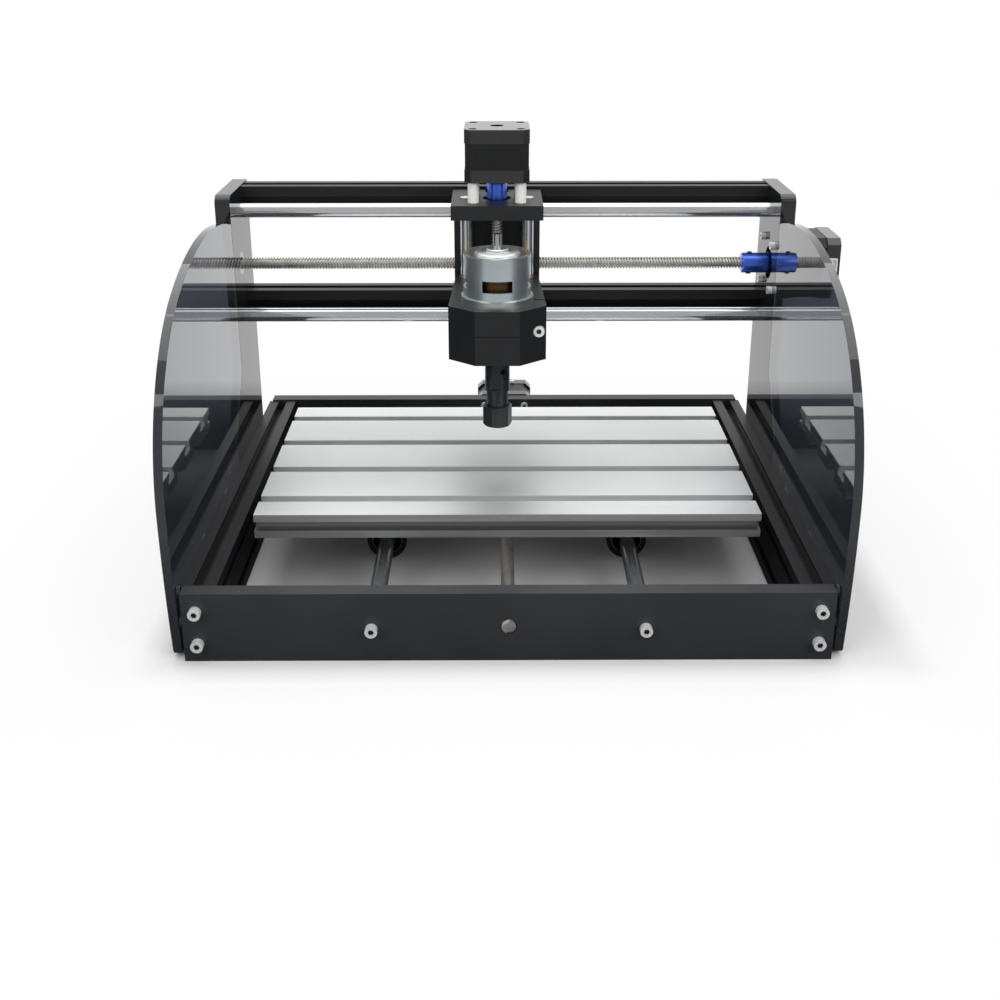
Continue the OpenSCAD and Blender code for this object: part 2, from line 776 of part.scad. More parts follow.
coupling_hole_d = coupling_d + 5;
coupling_pocket = 18;
stud_len = 2.2;
module x_carriage() {
    color("#191a1c") at_carriage() difference() {
        union() {
            translate([-block_wide / 2, carriage_face, carriage_low])
                cube([block_wide, 2 * carriage_half_deep, plate_top - carriage_low]);
            translate([-carriage_wide / 2, plate_front, plate_low])
                cube([carriage_wide, carriage_rear - plate_front, top_plate_thick]);
            translate([-block_wide / 2, flange_front, carriage_low])
                cube([block_wide, carriage_face - flange_front + 1, flange_thick]);
        }
        translate([-carriage_wide, x_axis_y, 0]) {
            for (z = [rod_low, rod_high]) translate([0, 0, z]) along_x()
                cylinder(d = bearing_d + 2 * seat_gap, h = 2 * carriage_wide);
            translate([0, 0, x_axis_z]) along_x() cylinder(d = screw_d + 2 * free_gap, h = 2 * carriage_wide);
        }
        translate([-block_wide / 2 - eps, x_axis_y, x_axis_z]) along_x() {
            cylinder(d = nut_body_d + 2 * seat_gap, h = nut_len + eps);
            cylinder(d = nut_flange_d + 2 * seat_gap, h = nut_flange + eps);
        }
        translate([block_wide / 2 - coupling_pocket, x_axis_y, x_axis_z]) along_x()
            cylinder(d = coupling_d + 4 * free_gap, h = coupling_pocket + eps);
        z_rod_spots() translate([0, 0, carriage_low + 2])
            cylinder(d = z_rod_d + 2 * seat_gap, h = plate_top - carriage_low);
        translate([0, z_axis_y, plate_low - eps]) cylinder(d = coupling_hole_d, h = top_plate_thick + 2 * eps);
        translate([0, z_axis_y, flange_top - screw_ring_len])
            cylinder(d = screw_ring_d + 2 * seat_gap, h = screw_ring_len + eps);
        translate([0, z_axis_y, carriage_low + 2]) cylinder(d = screw_d + 2 * free_gap, h = flange_thick);
        translate([0, z_axis_y, plate_top - stud_len]) motor_holes()
            cylinder(d = m3[0] + 2 * seat_gap, h = stud_len + eps);
    }
}

module x_bearings() {
    color("#8f9296") at_carriage() for (z = [rod_low, rod_high], x = [-block_wide / 2, block_wide / 2 - bearing_len])
        translate([x, x_axis_y, z]) along_x() linear_bearing();
}

module x_nut() {
    color("#b08d57") at_carriage() translate([-block_wide / 2, x_axis_y, x_axis_z]) along_x() flange_nut();
}

rod_show = 0.5;
module z_rods() {
    color("#c9ccd0") at_carriage() z_rod_spots() translate([0, 0, carriage_low + 2])
        cylinder(d = z_rod_d, h = plate_top - carriage_low - 2 + rod_show);
}

module z_standoffs() {
    color("#f1efe8") at_carriage() translate([0, z_axis_y, plate_top]) motor_holes() {
        cylinder(d = standoff_d, h = standoff_tall);
        translate([0, 0, 0.5 - stud_len]) cylinder(d = m3[0], h = standoff_tall + stud_len - 0.5 + bell_grip);
    }
}

module z_motor_stack() { color("#161719") at_z_motor() stepper_stack(); }
module z_motor_bells() { color("#202124") at_z_motor() stepper_bells(); }
module z_motor_connector() { color("#e9e8e2") at_z_motor() stepper_plug(); }

module z_screw_bearing() {
    color("#b9bcc0") at_carriage() translate([0, z_axis_y, flange_top - screw_ring_len]) screw_ring();
}

// Z slide with the spindle

module at_spindle() { translate([carriage_x, spindle_y, 0]) children(); }

clamp_slit = 1.6;
clamp_slit_y = spindle_y + 2;
clamp_screw_x = (can_d / 2 + clamp_half) / 2;
clamp_screw_z = slide_low + clamp_tall / 2 + 2;
clamp_seat = clamp_front + 13;
clamp_screw_len = 40;
seam_rise = 18.5;
seam_z = slide_low + seam_rise;
seam = 0.5;
module spindle_clamp() {
    color("#1b1c1e") at_carriage() difference() {
        translate([0, 0, slide_low]) linear_extrude(clamp_tall) polygon([[-clamp_flat_half, clamp_front],
            [clamp_flat_half, clamp_front], [clamp_half, clamp_shoulder], [clamp_waist_half, clamp_waist_y],
            [clamp_tail_half, slide_rear], [-clamp_tail_half, slide_rear], [-clamp_waist_half, clamp_waist_y],
            [-clamp_half, clamp_shoulder]]);
        translate([0, spindle_y, slide_low - eps]) cylinder(d = can_d + 2 * seat_gap, h = clamp_tall + 2 * eps);
        translate([can_d / 2 - 1, clamp_slit_y - clamp_slit / 2, slide_low - eps])
            cube([clamp_half, clamp_slit, clamp_tall + 2 * eps]);
        z_rod_spots() translate([0, 0, slide_low - eps])
            cylinder(d = bush_d + 2 * seat_gap, h = clamp_tall + 2 * eps);
        translate([0, z_axis_y, slide_low - eps]) {
            cylinder(d = screw_d + 2 * free_gap, h = clamp_tall + 2 * eps);
            translate([0, 0, clamp_tall - nut_pocket - z_nut_len])
                cylinder(d = z_nut_d + 2 * seat_gap, h = z_nut_len + nut_pocket + 2 * eps);
            translate([0, 0, clamp_tall - nut_pocket]) cylinder(d = nut_pocket_d, h = nut_pocket + 2 * eps);
        }
        translate([clamp_screw_x, clamp_front - 1, clamp_screw_z]) along_y() {
            cylinder(d = m4[1] + 4 * seat_gap, h = clamp_seat - clamp_front + 1);
            cylinder(d = m4[0] + 2 * seat_gap, h = clamp_seat - clamp_front + 2 + clamp_screw_len);
        }
        translate([-clamp_flat_half, clamp_front - seam, seam_z]) cube([2 * clamp_flat_half, 2 * seam, seam]);
    }
}

module z_bushes() {
    color("#a8824a") at_carriage() z_rod_spots() for (z = [slide_low, slide_top - bush_len])
        translate([0, 0, z]) ring(bush_d, z_rod_d + 2 * run_gap, bush_len);
}

module z_nut() {
    color("#b08d57") at_carriage() translate([0, z_axis_y, slide_top - nut_pocket - z_nut_len])
        ring(z_nut_d, screw_d + 2 * run_gap, z_nut_len);
}

module clamp_screw() {
    color("#c4c6c8") at_carriage() translate([clamp_screw_x, clamp_seat, clamp_screw_z]) along_y()
        cap_screw(m4, clamp_screw_len);
}

can_boss_d = 17;
can_boss_tall = 4;
can_floor = 2;
module spindle_can() {
    color("#a9afb3") at_spindle() difference() {
        union() {
            translate([0, 0, can_low]) cylinder(d = can_d, h = can_len);
            translate([0, 0, can_low - can_boss_tall]) cylinder(d = can_boss_d, h = can_boss_tall + eps);
        }
        translate([0, 0, can_low + can_floor]) cylinder(d = can_d - 2 * can_wall, h = can_len);
        translate([0, 0, can_low - can_boss_tall - eps])
            cylinder(d = shaft_d + 2 * run_gap, h = can_boss_tall + can_floor + 2 * eps);
        for (a = [0, 90]) rotate([0, 0, a])
            translate([-window_wide / 2, -can_d, slide_top + window_low]) cube([window_wide, 2 * can_d, window_tall]);
    }
}

module flux_ring() {
    color("#b3b8bb") at_spindle() translate([0, 0, slide_top]) ring(ring_d, can_d + 2 * seat_gap, ring_tall);
}

vent_d = 6;
vent_at = 11.5;
module spindle_end_cap() {
    color("#bfc3c6") at_spindle() difference() {
        union() {
            translate([0, 0, can_top - cap_thick])
                cylinder(d = can_d - 2 * can_wall - 2 * seat_gap, h = cap_thick);
            translate([0, 0, can_top - eps]) cylinder(d = cap_boss_d, h = cap_boss_tall + eps);
        }
        translate([0, 0, can_top - cap_thick - eps])
            cylinder(d = shaft_d + 2 * run_gap, h = cap_thick + cap_boss_tall + 2 * eps);
        for (a = [45:90:315]) rotate([0, 0, a]) translate([vent_at, 0, can_top - cap_thick - eps])
            cylinder(d = vent_d, h = cap_thick + 2 * eps);
    }
}

tab_thick = 0.8;
tab_wide = 5;
tab_tall = 8.5;
tab_hole = 1.8;
module spindle_terminals() {
    tab_x = can_d / 2 - can_wall - seat_gap - 1.6;
    color("#c8b27a") at_spindle() for (s = [-1, 1]) translate([s * tab_x, 0, can_top]) difference() {
        translate([-tab_thick / 2, -tab_wide / 2, 0]) cube([tab_thick, tab_wide, tab_tall]);
        translate([-tab_thick, 0, tab_tall - 2.6]) along_x() cylinder(d = tab_hole, h = 2 * tab_thick);
    }
}

// Spindle rotor

shaft_grip = 12;
module rotor_shaft() {
    color("#b4b8bb") at_spindle() translate([0, 0, holder_top - shaft_grip])
        cylinder(d = shaft_d, h = can_top + rear_shaft - holder_top + shaft_grip);
}

armature_d = can_d - 10.5;
armature_low = 10;
armature_len = 44;
module rotor_armature() {
    color("#7a4a26") at_spindle() translate([0, 0, can_low + armature_low])
        ring(armature_d, shaft_d + 2 * seat_gap, armature_len);
}

set_hole = 3.6;
set_drop = 6.2;
set_turn = 208;
holder_low = nut_top - 8;
holder_flats = holder_d - 2;
flats_low = 1.5;
flats_tall = 8;
flats_turn = -9;
collet_top = nut_top + 4;
module collet_holder() {
    color("#1c1d1f") at_spindle() difference() {
        union() {
            translate([0, 0, holder_top - holder_len]) cylinder(d = holder_d, h = holder_len);
            translate([0, 0, holder_low]) cylinder(d = thread_d, h = holder_top - holder_len - holder_low + eps);
        }
        translate([0, 0, holder_top - shaft_grip - 1]) cylinder(d = shaft_d + 2 * seat_gap, h = shaft_grip + 1 + eps);
        translate([0, 0, holder_low - eps]) cylinder(d = collet_d + 2 * seat_gap, h = collet_top - holder_low + 0.5);
        translate([0, 0, holder_top - set_drop]) rotate([0, 0, set_turn]) rotate([0, 90, 90])
            cylinder(d = set_hole, h = holder_d);
        for (a = [0, 180]) rotate([0, 0, flats_turn + a])
            translate([-holder_d / 2, holder_flats / 2, holder_top - holder_len + flats_low])
                cube([holder_d, holder_d, flats_tall]);
    }
}

nose_show = 0.4;
collet_lip = 2.2;
module collet() {
    color("#9da1a4") at_spindle() difference() {
        union() {
            translate([0, 0, nut_low + collet_lip]) cylinder(d = collet_d, h = collet_top - nut_low - collet_lip);
            translate([0, 0, nut_low - nose_show])
                cylinder(d = nose_d - 2 * seat_gap, h = collet_lip + nose_show + eps);
        }
        translate([0, 0, nut_low - nose_show - eps])
            cylinder(d = collet_bore, h = collet_top - nut_low + nose_show + 2 * eps);
    }
}

nut_bevel = 1;
nut_flats = nut_d - 2;
nut_turn = 12;
nut_thread = 8.5;
module collet_nut() {
    color("#1d1e20") at_spindle() translate([0, 0, nut_low]) difference() {
        intersection() {
            rotate([0, 0, nut_turn]) cylinder(d = nut_flats / cos(30), h = nut_tall, $fn = 6);
            union() {
                cylinder(d1 = nut_d - 2 * nut_bevel, d2 = nut_d, h = nut_bevel);
                translate([0, 0, nut_bevel - eps]) cylinder(d = nut_d, h = nut_tall - 2 * nut_bevel + 2 * eps);
                translate([0, 0, nut_tall - nut_bevel]) cylinder(d1 = nut_d, d2 = nut_d - 2 * nut_bevel, h = nut_bevel);
            }
        }
        translate([0, 0, -eps]) cylinder(d = nose_d, h = nut_tall);
        translate([0, 0, collet_lip]) cylinder(d = collet_d + 2 * seat_gap, h = nut_tall);
        translate([0, 0, nut_tall - nut_thread]) cylinder(d = thread_d + 2 * seat_gap, h = nut_tall);
    }
}

// Lead screws with couplings and motor shafts

end_show = 0.6;
x_coupling_at = frame_half - coupling_in;
module x_lead_screw() {
    color("#a7a49b") translate([-frame_half - upright_thick - end_show, x_axis_y, x_axis_z]) along_x()
        cylinder(d = screw_d, h = x_coupling_at + coupling_len / 2 + frame_half + upright_thick + end_show);
}

module x_coupling() {
    color("#1f3fa6") translate([x_coupling_at, x_axis_y, x_axis_z]) along_x() coupling_body(shaft_d);
}

module x_motor_shaft() {
    color("#b4b8bb") translate([x_coupling_at + coupling_len / 2, x_axis_y, x_axis_z]) along_x()
        cylinder(d = shaft_d, h = frame_half + upright_thick + shaft_in - x_coupling_at - coupling_len / 2);
}

y_coupling_at = rear_front - coupling_back;
module y_lead_screw() {
    color("#a7a49b") translate([0, -end_show, y_axis_z]) along_y()
        cylinder(d = screw_d, h = y_coupling_at + coupling_len / 2 + end_show);
}

module y_coupling() { color("#1f3fa6") translate([0, y_coupling_at, y_axis_z]) along_y() coupling_body(shaft_d); }

module y_motor_shaft() {
    color("#b4b8bb") translate([0, y_coupling_at + coupling_len / 2, y_axis_z]) along_y()
        cylinder(d = shaft_d, h = frame_deep + shaft_in - y_coupling_at - coupling_len / 2);
}

z_screw_low = carriage_low + 2 + free_gap;
module z_lead_screw() {
    color("#a7a49b") at_carriage() translate([0, z_axis_y, z_screw_low])
        cylinder(d = screw_d, h = z_coupling_low + coupling_len / 2 - z_screw_low);
}

module z_coupling() {
    color("#1f3fa6") at_carriage() translate([0, z_axis_y, z_coupling_low]) coupling_body(shaft_d);
}

module z_motor_shaft() {
    color("#b4b8bb") at_carriage() translate([0, z_axis_y, z_coupling_low + coupling_len / 2])
        cylinder(d = shaft_d, h = motor_z + shaft_in - z_coupling_low - coupling_len / 2);
}

// Moves the row's origin to the bottom centre of the whole box.
module placed() { translate([-row_x, -row_y, 0]) children(); }

placed() front_panel();
placed() rear_panel();
placed() left_y_profile();
placed() right_y_profile();
placed() left_upright();
placed() right_upright();
placed() left_guard();
placed() right_guard();
placed() x_beams();
placed() x_rods();
placed() y_rods();
placed() x_motor_stack();
placed() x_motor_bells();
placed() y_motor_stack();
placed() y_motor_bells();
placed() motor_connectors();
placed() frame_screws();
placed() guard_screws();
placed() upright_screws();
placed() motor_screws();
placed() screw_bearings();
placed() table_plate();
placed() table_bearing_blocks();
placed() table_bearings();
placed() y_nut_block();
placed() y_nut();
placed() table_screws();
placed() x_carriage();
placed() x_bearings();
placed() x_nut();
placed() z_rods();
placed() z_standoffs();
placed() z_motor_stack();
placed() z_motor_bells();
placed() z_motor_connector();
placed() z_screw_bearing();
placed() spindle_clamp();
placed() z_bushes();
placed() z_nut();
placed() clamp_screw();
placed() spindle_can();
placed() flux_ring();
placed() spindle_end_cap();
placed() spindle_terminals();
placed() rotor_shaft();
placed() rotor_armature();
placed() collet_holder();
placed() collet();
placed() collet_nut();
placed() x_lead_screw();
placed() x_coupling();
placed() x_motor_shaft();
placed() y_lead_screw();
placed() y_coupling();
placed() y_motor_shaft();
placed() z_lead_screw();
placed() z_coupling();
placed() z_motor_shaft();
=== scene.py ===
"""Looks of a desktop CNC router: finishes, threads, small screws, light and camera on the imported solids."""
import logging
import math
from dataclasses import dataclass, field
from enum import Enum
from typing import Any

import bmesh
import bpy
from mathutils import Matrix, Vector


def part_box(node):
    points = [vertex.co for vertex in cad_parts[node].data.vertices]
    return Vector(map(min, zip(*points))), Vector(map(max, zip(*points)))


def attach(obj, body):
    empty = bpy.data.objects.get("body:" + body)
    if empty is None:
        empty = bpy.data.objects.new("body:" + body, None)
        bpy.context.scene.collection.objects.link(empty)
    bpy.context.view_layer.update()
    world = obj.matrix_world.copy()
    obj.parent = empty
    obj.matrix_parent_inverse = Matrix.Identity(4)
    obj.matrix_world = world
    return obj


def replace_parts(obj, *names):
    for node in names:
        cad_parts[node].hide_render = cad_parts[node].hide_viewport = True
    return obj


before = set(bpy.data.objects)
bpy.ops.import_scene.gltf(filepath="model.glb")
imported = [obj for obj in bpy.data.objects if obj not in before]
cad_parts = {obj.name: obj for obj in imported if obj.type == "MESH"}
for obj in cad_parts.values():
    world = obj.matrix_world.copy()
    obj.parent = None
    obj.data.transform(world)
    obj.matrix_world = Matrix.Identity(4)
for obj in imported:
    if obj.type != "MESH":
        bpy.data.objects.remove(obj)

LOG = logging.getLogger("router")
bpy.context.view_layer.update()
MM = 0.001
WHITE = (1.0, 1.0, 1.0, 1.0)
ROUND_STEPS = 72
SHARP_DEG = 38
WELD_M = 1e-6
ON_PLANE_M = 1e-7
# The part of a noise's range that is spread over a finish's two ends.
NOISE_SPAN = {"From Min": 0.3, "From Max": 0.7}
# Bands that a wave texture draws for each unit of its scale.
BANDS_PER_UNIT = 3.0


class Axis(Enum):
    """Direction that a rod, screw or motor lies in."""

    X = (1.0, 0.0, 0.0)
    Y = (0.0, 1.0, 0.0)
    Z = (0.0, 0.0, 1.0)

    def spread(self, along: float, across: float) -> tuple[float, float, float]:
        """Return one size along this axis and another across it, as x, y, z."""
        return tuple(along if part else across for part in self.value)


def linear(colour: str) -> tuple[float, float, float, float]:
    """Turn an sRGB hex colour into linear light.

    Args:
        colour: Six hex digits after a hash sign.

    Returns:
        Linear red, green, blue and an alpha of 1.
    """
    parts = [int(colour[i:i + 2], 16) / 255 for i in (1, 3, 5)]
    return (*[c / 12.92 if c <= 0.04045 else ((c + 0.055) / 1.055) ** 2.4 for c in parts], 1.0)


def per_mm(size_mm: float) -> float:
    """Return the texture scale whose features are about size_mm across on Object coordinates."""
    return 1.0 / (size_mm * MM)


def add(tree: bpy.types.NodeTree, kind: str, settings: dict | None = None, links: dict | None = None) -> Any:
    """Add one node with its settings and links.

    Args:
        tree: The node tree that takes it.
        kind: Blender's name of the node type.
        settings: Values by socket name or number, or by the node's own property.
        links: Output sockets by the input that they feed.

    Returns:
        The new node.
    """
    node = tree.nodes.new(kind)
    for key, value in (settings or {}).items():
        if isinstance(key, str) and hasattr(node, key):
            setattr(node, key, value)
        else:
            node.inputs[key].default_value = value
    for key, socket in (links or {}).items():
        tree.links.new(socket, node.inputs[key])
    return node


def blank_material(name: str) -> bpy.types.Material:
    """Return a new material whose node tree is empty."""
    material = bpy.data.materials.new(name)
    material.use_nodes = True
    material.node_tree.nodes.clear()
    return material


def turned_to(start: Axis, way: Vector) -> Matrix:
    """Return the turn that takes an axis to a direction."""
    return Vector(start.value).rotation_difference(way).to_matrix().to_4x4()


def mirror_ray(tree: bpy.types.NodeTree, path: Any) -> Any:
    """Return a socket that is 1 on rays that a mirror or a clear sheet sends on.

    Args:
        tree: The node tree that takes it.
        path: Its light path node.

    Returns:
        The socket.
    """
    return add(tree, "ShaderNodeMath", {"operation": "MAXIMUM"},
               {0: path.outputs["Is Glossy Ray"], 1: path.outputs["Is Transmission Ray"]}).outputs[0]


@dataclass
class Looks:
    """Sockets that a finish hands to its shader: colour, roughness and height."""

    colour: Any
    rough: Any
    height: Any


@dataclass(frozen=True)
class Finish:
    """A finish with a directed fine grain and large soft clouds of tone.

    The grain's size on each axis makes it isotropic, drawn out along an extrusion or turned round a bar.
    """

    name: str
    colour: str
    shade: str
    rough: tuple[float, float]
    grain_mm: tuple[float, float, float] = (0.5, 0.5, 0.5)
    bump_mm: float = 0.004
    cloud_mm: float = 40.0
    metallic: float = 0.0
    specular: float = 0.5
    coat: float = 0.0
    coat_rough: float = 0.1

    def make(self) -> bpy.types.Material:
        """Build the node material and return it."""
        material = blank_material(self.name)
        tree = material.node_tree
        place = add(tree, "ShaderNodeTexCoord").outputs["Object"]
        drawn = add(tree, "ShaderNodeMapping", {"Scale": [per_mm(s) for s in self.grain_mm]}, {"Vector": place})
        grain = add(tree, "ShaderNodeTexNoise", {"Scale": 1.0, "Detail": 2.0}, {"Vector": drawn.outputs[0]})
        cloud = add(tree, "ShaderNodeTexNoise", {"Scale": per_mm(self.cloud_mm), "Detail": 3.0}, {"Vector": place})
        tone = add(tree, "ShaderNodeMapRange", NOISE_SPAN, {"Value": cloud.outputs["Fac"]})
        tint = add(tree, "ShaderNodeMix", {"data_type": "RGBA", 6: linear(self.shade), 7: linear(self.colour)},
                   {0: tone.outputs[0]})
        rough = add(tree, "ShaderNodeMapRange", {**NOISE_SPAN, "To Min": self.rough[0], "To Max": self.rough[1]},
                    {"Value": grain.outputs["Fac"]})
        looks = self.mark(tree, place, Looks(tint.outputs[2], rough.outputs[0], grain.outputs["Fac"]))
        bump = add(tree, "ShaderNodeBump", {"Strength": 1.0, "Distance": self.bump_mm * MM}, {"Height": looks.height})
        shader = add(tree, "ShaderNodeBsdfPrincipled",
                     {"Metallic": self.metallic, "Specular IOR Level": self.specular,
                      "Coat Weight": self.coat, "Coat Roughness": self.coat_rough},
                     {"Base Color": looks.colour, "Roughness": looks.rough, "Normal": bump.outputs[0]})
        add(tree, "ShaderNodeOutputMaterial", None, {"Surface": shader.outputs[0]})
        return material

    def mark(self, tree: bpy.types.NodeTree, place: Any, looks: Looks) -> Looks:
        """Add what this finish has beyond grain and clouds; the plain one has nothing."""
        return looks


@dataclass(frozen=True)
class LaminatedSteel(Finish):
    """Motor stack of stamped sheets, whose edges show as fine lines across the motor."""

    axis: Axis = Axis.Z
    sheet_mm: float = 1.1
    line_height: float = 0.7

    def mark(self, tree: bpy.types.NodeTree, place: Any, looks: Looks) -> Looks:
        """Add the sheet edges to the height.

        Args:
            tree: The material's nodes.
            place: Object coordinates.
            looks: The sockets so far.

        Returns:
            The sockets with the sheet lines in the height.
        """
        lines = add(tree, "ShaderNodeTexWave", {"wave_type": "BANDS", "bands_direction": self.axis.name,
                                                "Scale": per_mm(self.sheet_mm) / BANDS_PER_UNIT,
                                                "Distortion": 0.0},
                    {"Vector": place})
        height = add(tree, "ShaderNodeMath", {"operation": "MULTIPLY_ADD", 1: self.line_height},
                     {0: lines.outputs["Fac"], 2: looks.height})
        return Looks(looks.colour, looks.rough, height.outputs[0])


@dataclass(frozen=True)
class SocketScrew(Finish):
    """Plated screws whose hexagon sockets are darkened by painted shade where the screw occludes itself."""

    socket_mm: float = 2.4
    open_from: float = 0.55
    open_to: float = 0.9
    # Colour of the painted shade that fills the sockets and other self-shaded hollows.
    painted_socket_shade: str = "#2b2c2e"

    def mark(self, tree: bpy.types.NodeTree, place: Any, looks: Looks) -> Looks:
        """Paint shade into the colour where the screw occludes itself.

        Args:
            tree: The material's nodes.
            place: Object coordinates; not used here.
            looks: The sockets so far.

        Returns:
            The sockets with the painted shade of the recesses in the colour.
        """
        # Painted shade: ambient occlusion darkens the colour in sockets and recesses.
        shade = add(tree, "ShaderNodeAmbientOcclusion",
                    {"samples": 8, "only_local": True, "Distance": self.socket_mm * MM})
        clear = add(tree, "ShaderNodeMapRange", {"From Min": self.open_from, "From Max": self.open_to},
                    {"Value": shade.outputs["AO"]})
        tint = add(tree, "ShaderNodeMix", {"data_type": "RGBA", 6: linear(self.painted_socket_shade)},
                   {0: clear.outputs[0], 7: looks.colour})
        return Looks(tint.outputs[2], looks.rough, looks.height)


@dataclass(frozen=True)
class GroovedAluminium(Finish):
    """Clear anodised table extrusion, with painted shade darkening the groove along its front and rear edge."""

    lip_mm: float = 4.65
    groove_mm: float = 5.7
    deep_mm: float = 6.1
    # Colour of the painted shade inside the two edge grooves.
    painted_groove_shade: str = "#9a9b99"

    def mark(self, tree: bpy.types.NodeTree, place: Any, looks: Looks) -> Looks:
        """Paint shade into the colour inside the two grooves.

        Args:
            tree: The material's nodes.
            place: Object coordinates.
            looks: The sockets so far.

        Returns:
            The sockets with the painted groove shade in the colour.
        """
        low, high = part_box("table_plate")
        middle = (low + high) / 2
        at = add(tree, "ShaderNodeSeparateXYZ", None, {0: place})
        half = self.groove_mm / 2
        tall = add(tree, "ShaderNodeMath", {"operation": "COMPARE", 1: low.z + (self.lip_mm + half) * MM, 2: half * MM},
                   {0: at.outputs["Z"]})
        off = add(tree, "ShaderNodeMath", {"operation": "SUBTRACT", 1: middle.y}, {0: at.outputs["Y"]})
        out = add(tree, "ShaderNodeMath", {"operation": "ABSOLUTE"}, {0: off.outputs[0]})
        deep = add(tree, "ShaderNodeMath", {"operation": "GREATER_THAN", 1: high.y - middle.y - self.deep_mm * MM},
                   {0: out.outputs[0]})
        inside = add(tree, "ShaderNodeMath", {"operation": "MULTIPLY"}, {0: tall.outputs[0], 1: deep.outputs[0]})
        # Painted shade: the colour inside the groove mask is mixed towards the darker groove colour.
        tint = add(tree, "ShaderNodeMix", {"data_type": "RGBA", 7: linear(self.painted_groove_shade)},
                   {0: inside.outputs[0], 6: looks.colour})
        return Looks(tint.outputs[2], looks.rough, looks.height)


@dataclass(frozen=True)
class SmokedAcrylic:
    """Cast acrylic sheet dyed through: glossy, and dark only where light crosses its depth."""

    name: str = "cast_acrylic_smoked"
    tint: str = "#62656f"
    body: str = "#a6abbd"
    density: float = 260.0
    rough: tuple[float, float] = (0.012, 0.035)
    haze_mm: float = 90.0
    clear: float = 0.95
    ior: float = 1.49
    coat: float = 0.45
    coat_rough: float = 0.02

    def make(self) -> bpy.types.Material:
        """Build the node material and return it."""
        material = blank_material(self.name)
        tree = material.node_tree
        place = add(tree, "ShaderNodeTexCoord").outputs["Object"]
        haze = add(tree, "ShaderNodeTexNoise", {"Scale": per_mm(self.haze_mm), "Detail": 4.0}, {"Vector": place})
        rough = add(tree, "ShaderNodeMapRange", {**NOISE_SPAN, "To Min": self.rough[0], "To Max": self.rough[1]},
                    {"Value": haze.outputs["Fac"]})
        shader = add(tree, "ShaderNodeBsdfPrincipled",
                     {"Transmission Weight": self.clear, "IOR": self.ior, "Base Color": linear(self.body),
                      "Coat Weight": self.coat, "Coat Roughness": self.coat_rough},
                     {"Roughness": rough.outputs[0]})
        depth = add(tree, "ShaderNodeVolumeAbsorption", {"Color": linear(self.tint), "Density": self.density})
        add(tree, "ShaderNodeOutputMaterial", None, {"Surface": shader.outputs[0], "Volume": depth.outputs[0]})
        return material


@dataclass(frozen=True)
class SealedBearing(Finish):
    """Ground bearing shells round two rods, with a black rubber seal inside each shell."""

    axis: Axis = Axis.Y
    centres_mm: tuple[tuple[float, float, float], tuple[float, float, float]] = ((0, 0, 0), (0, 0, 0))
    seal_mm: float = 9.0
    seal: str = "#141416"

    def mark(self, tree: bpy.types.NodeTree, place: Any, looks: Looks) -> Looks:
        """Paint the seal inside its radius round either rod.

        Args:
            tree: The material's nodes.
            place: Object coordinates.
            looks: The sockets so far.

        Returns:
            The sockets with the seal's colour.
        """
        flat = [0.0 if part else 1.0 for part in self.axis.value]
        near = []
        for centre in self.centres_mm:
            moved = add(tree, "ShaderNodeVectorMath", {"operation": "SUBTRACT", 1: [c * MM for c in centre]},
                        {0: place})
            across = add(tree, "ShaderNodeVectorMath", {"operation": "MULTIPLY", 1: flat}, {0: moved.outputs[0]})
            near.append(add(tree, "ShaderNodeVectorMath", {"operation": "LENGTH"}, {0: across.outputs[0]}))
        radius = add(tree, "ShaderNodeMath", {"operation": "MINIMUM"},
                     {0: near[0].outputs["Value"], 1: near[1].outputs["Value"]})
        inside = add(tree, "ShaderNodeMath", {"operation": "LESS_THAN", 1: self.seal_mm * MM}, {0: radius.outputs[0]})
        tint = add(tree, "ShaderNodeMix", {"data_type": "RGBA", 7: linear(self.seal)},
                   {0: inside.outputs[0], 6: looks.colour})
        return Looks(tint.outputs[2], looks.rough, looks.height)


def black_extrusion(axis: Axis) -> Finish:
    """Black anodised extrusion: satin, with the die's faint lines drawn out along the bar."""
    return Finish(f"aluminium_anodised_black_{axis.name.lower()}", "#141416", "#101012", (0.34, 0.46),
                  axis.spread(90.0, 0.6), 0.004, 60.0, 0.0, 0.32)


def ground_chrome(axis: Axis, rough: tuple[float, float] = (0.1, 0.13)) -> Finish:
    """Hard chrome on ground steel: a mirror with fine grinding rings round the rod."""
    return Finish(f"hard_chrome_ground_{axis.name.lower()}", "#d6d8da", "#cccfd2", rough,
                  axis.spread(0.8, 8.0), 0.0004, 70.0, 0.86)


def motor_stack(axis: Axis) -> LaminatedSteel:
    """Black lacquer over stamped steel sheets: satin, with the sheet edges as lines drawn at twice their pitch."""
    return LaminatedSteel(f"laminated_steel_lacquered_{axis.name.lower()}", "#17181a", "#121315", (0.3, 0.42),
                          (0.6, 0.6, 0.6), 0.03, 25.0, 0.0, 0.3, 0.0, 0.1, axis)


# Paper phenolic board: resin-bound paper, satin on its pressed face, with a faint cloudiness.
PHENOLIC = Finish("phenolic_board_black", "#313236", "#2a2b2e", (0.38, 0.5), (0.5, 0.5, 0.5), 0.003, 55.0, 0.0, 0.45)
# The same board polished: a dark mirror at a glancing angle.
PHENOLIC_POLISHED = Finish("phenolic_board_polished", "#1d1e20", "#18191b", (0.03, 0.06), (1.4, 1.4, 1.4), 0.0006,
                           60.0, 0.0, 0.6)
# Cast acrylic: see the class.
ACRYLIC = SmokedAcrylic()
# Pressure die-cast aluminium with black lacquer: an even satin film that picks up the sky on flat tops.
BELL = Finish("die_cast_lacquered_black", "#1a1b1d", "#141517", (0.2, 0.3), (0.7, 0.7, 0.7), 0.0015, 18.0, 0.0, 0.45,
              0.6, 0.16)
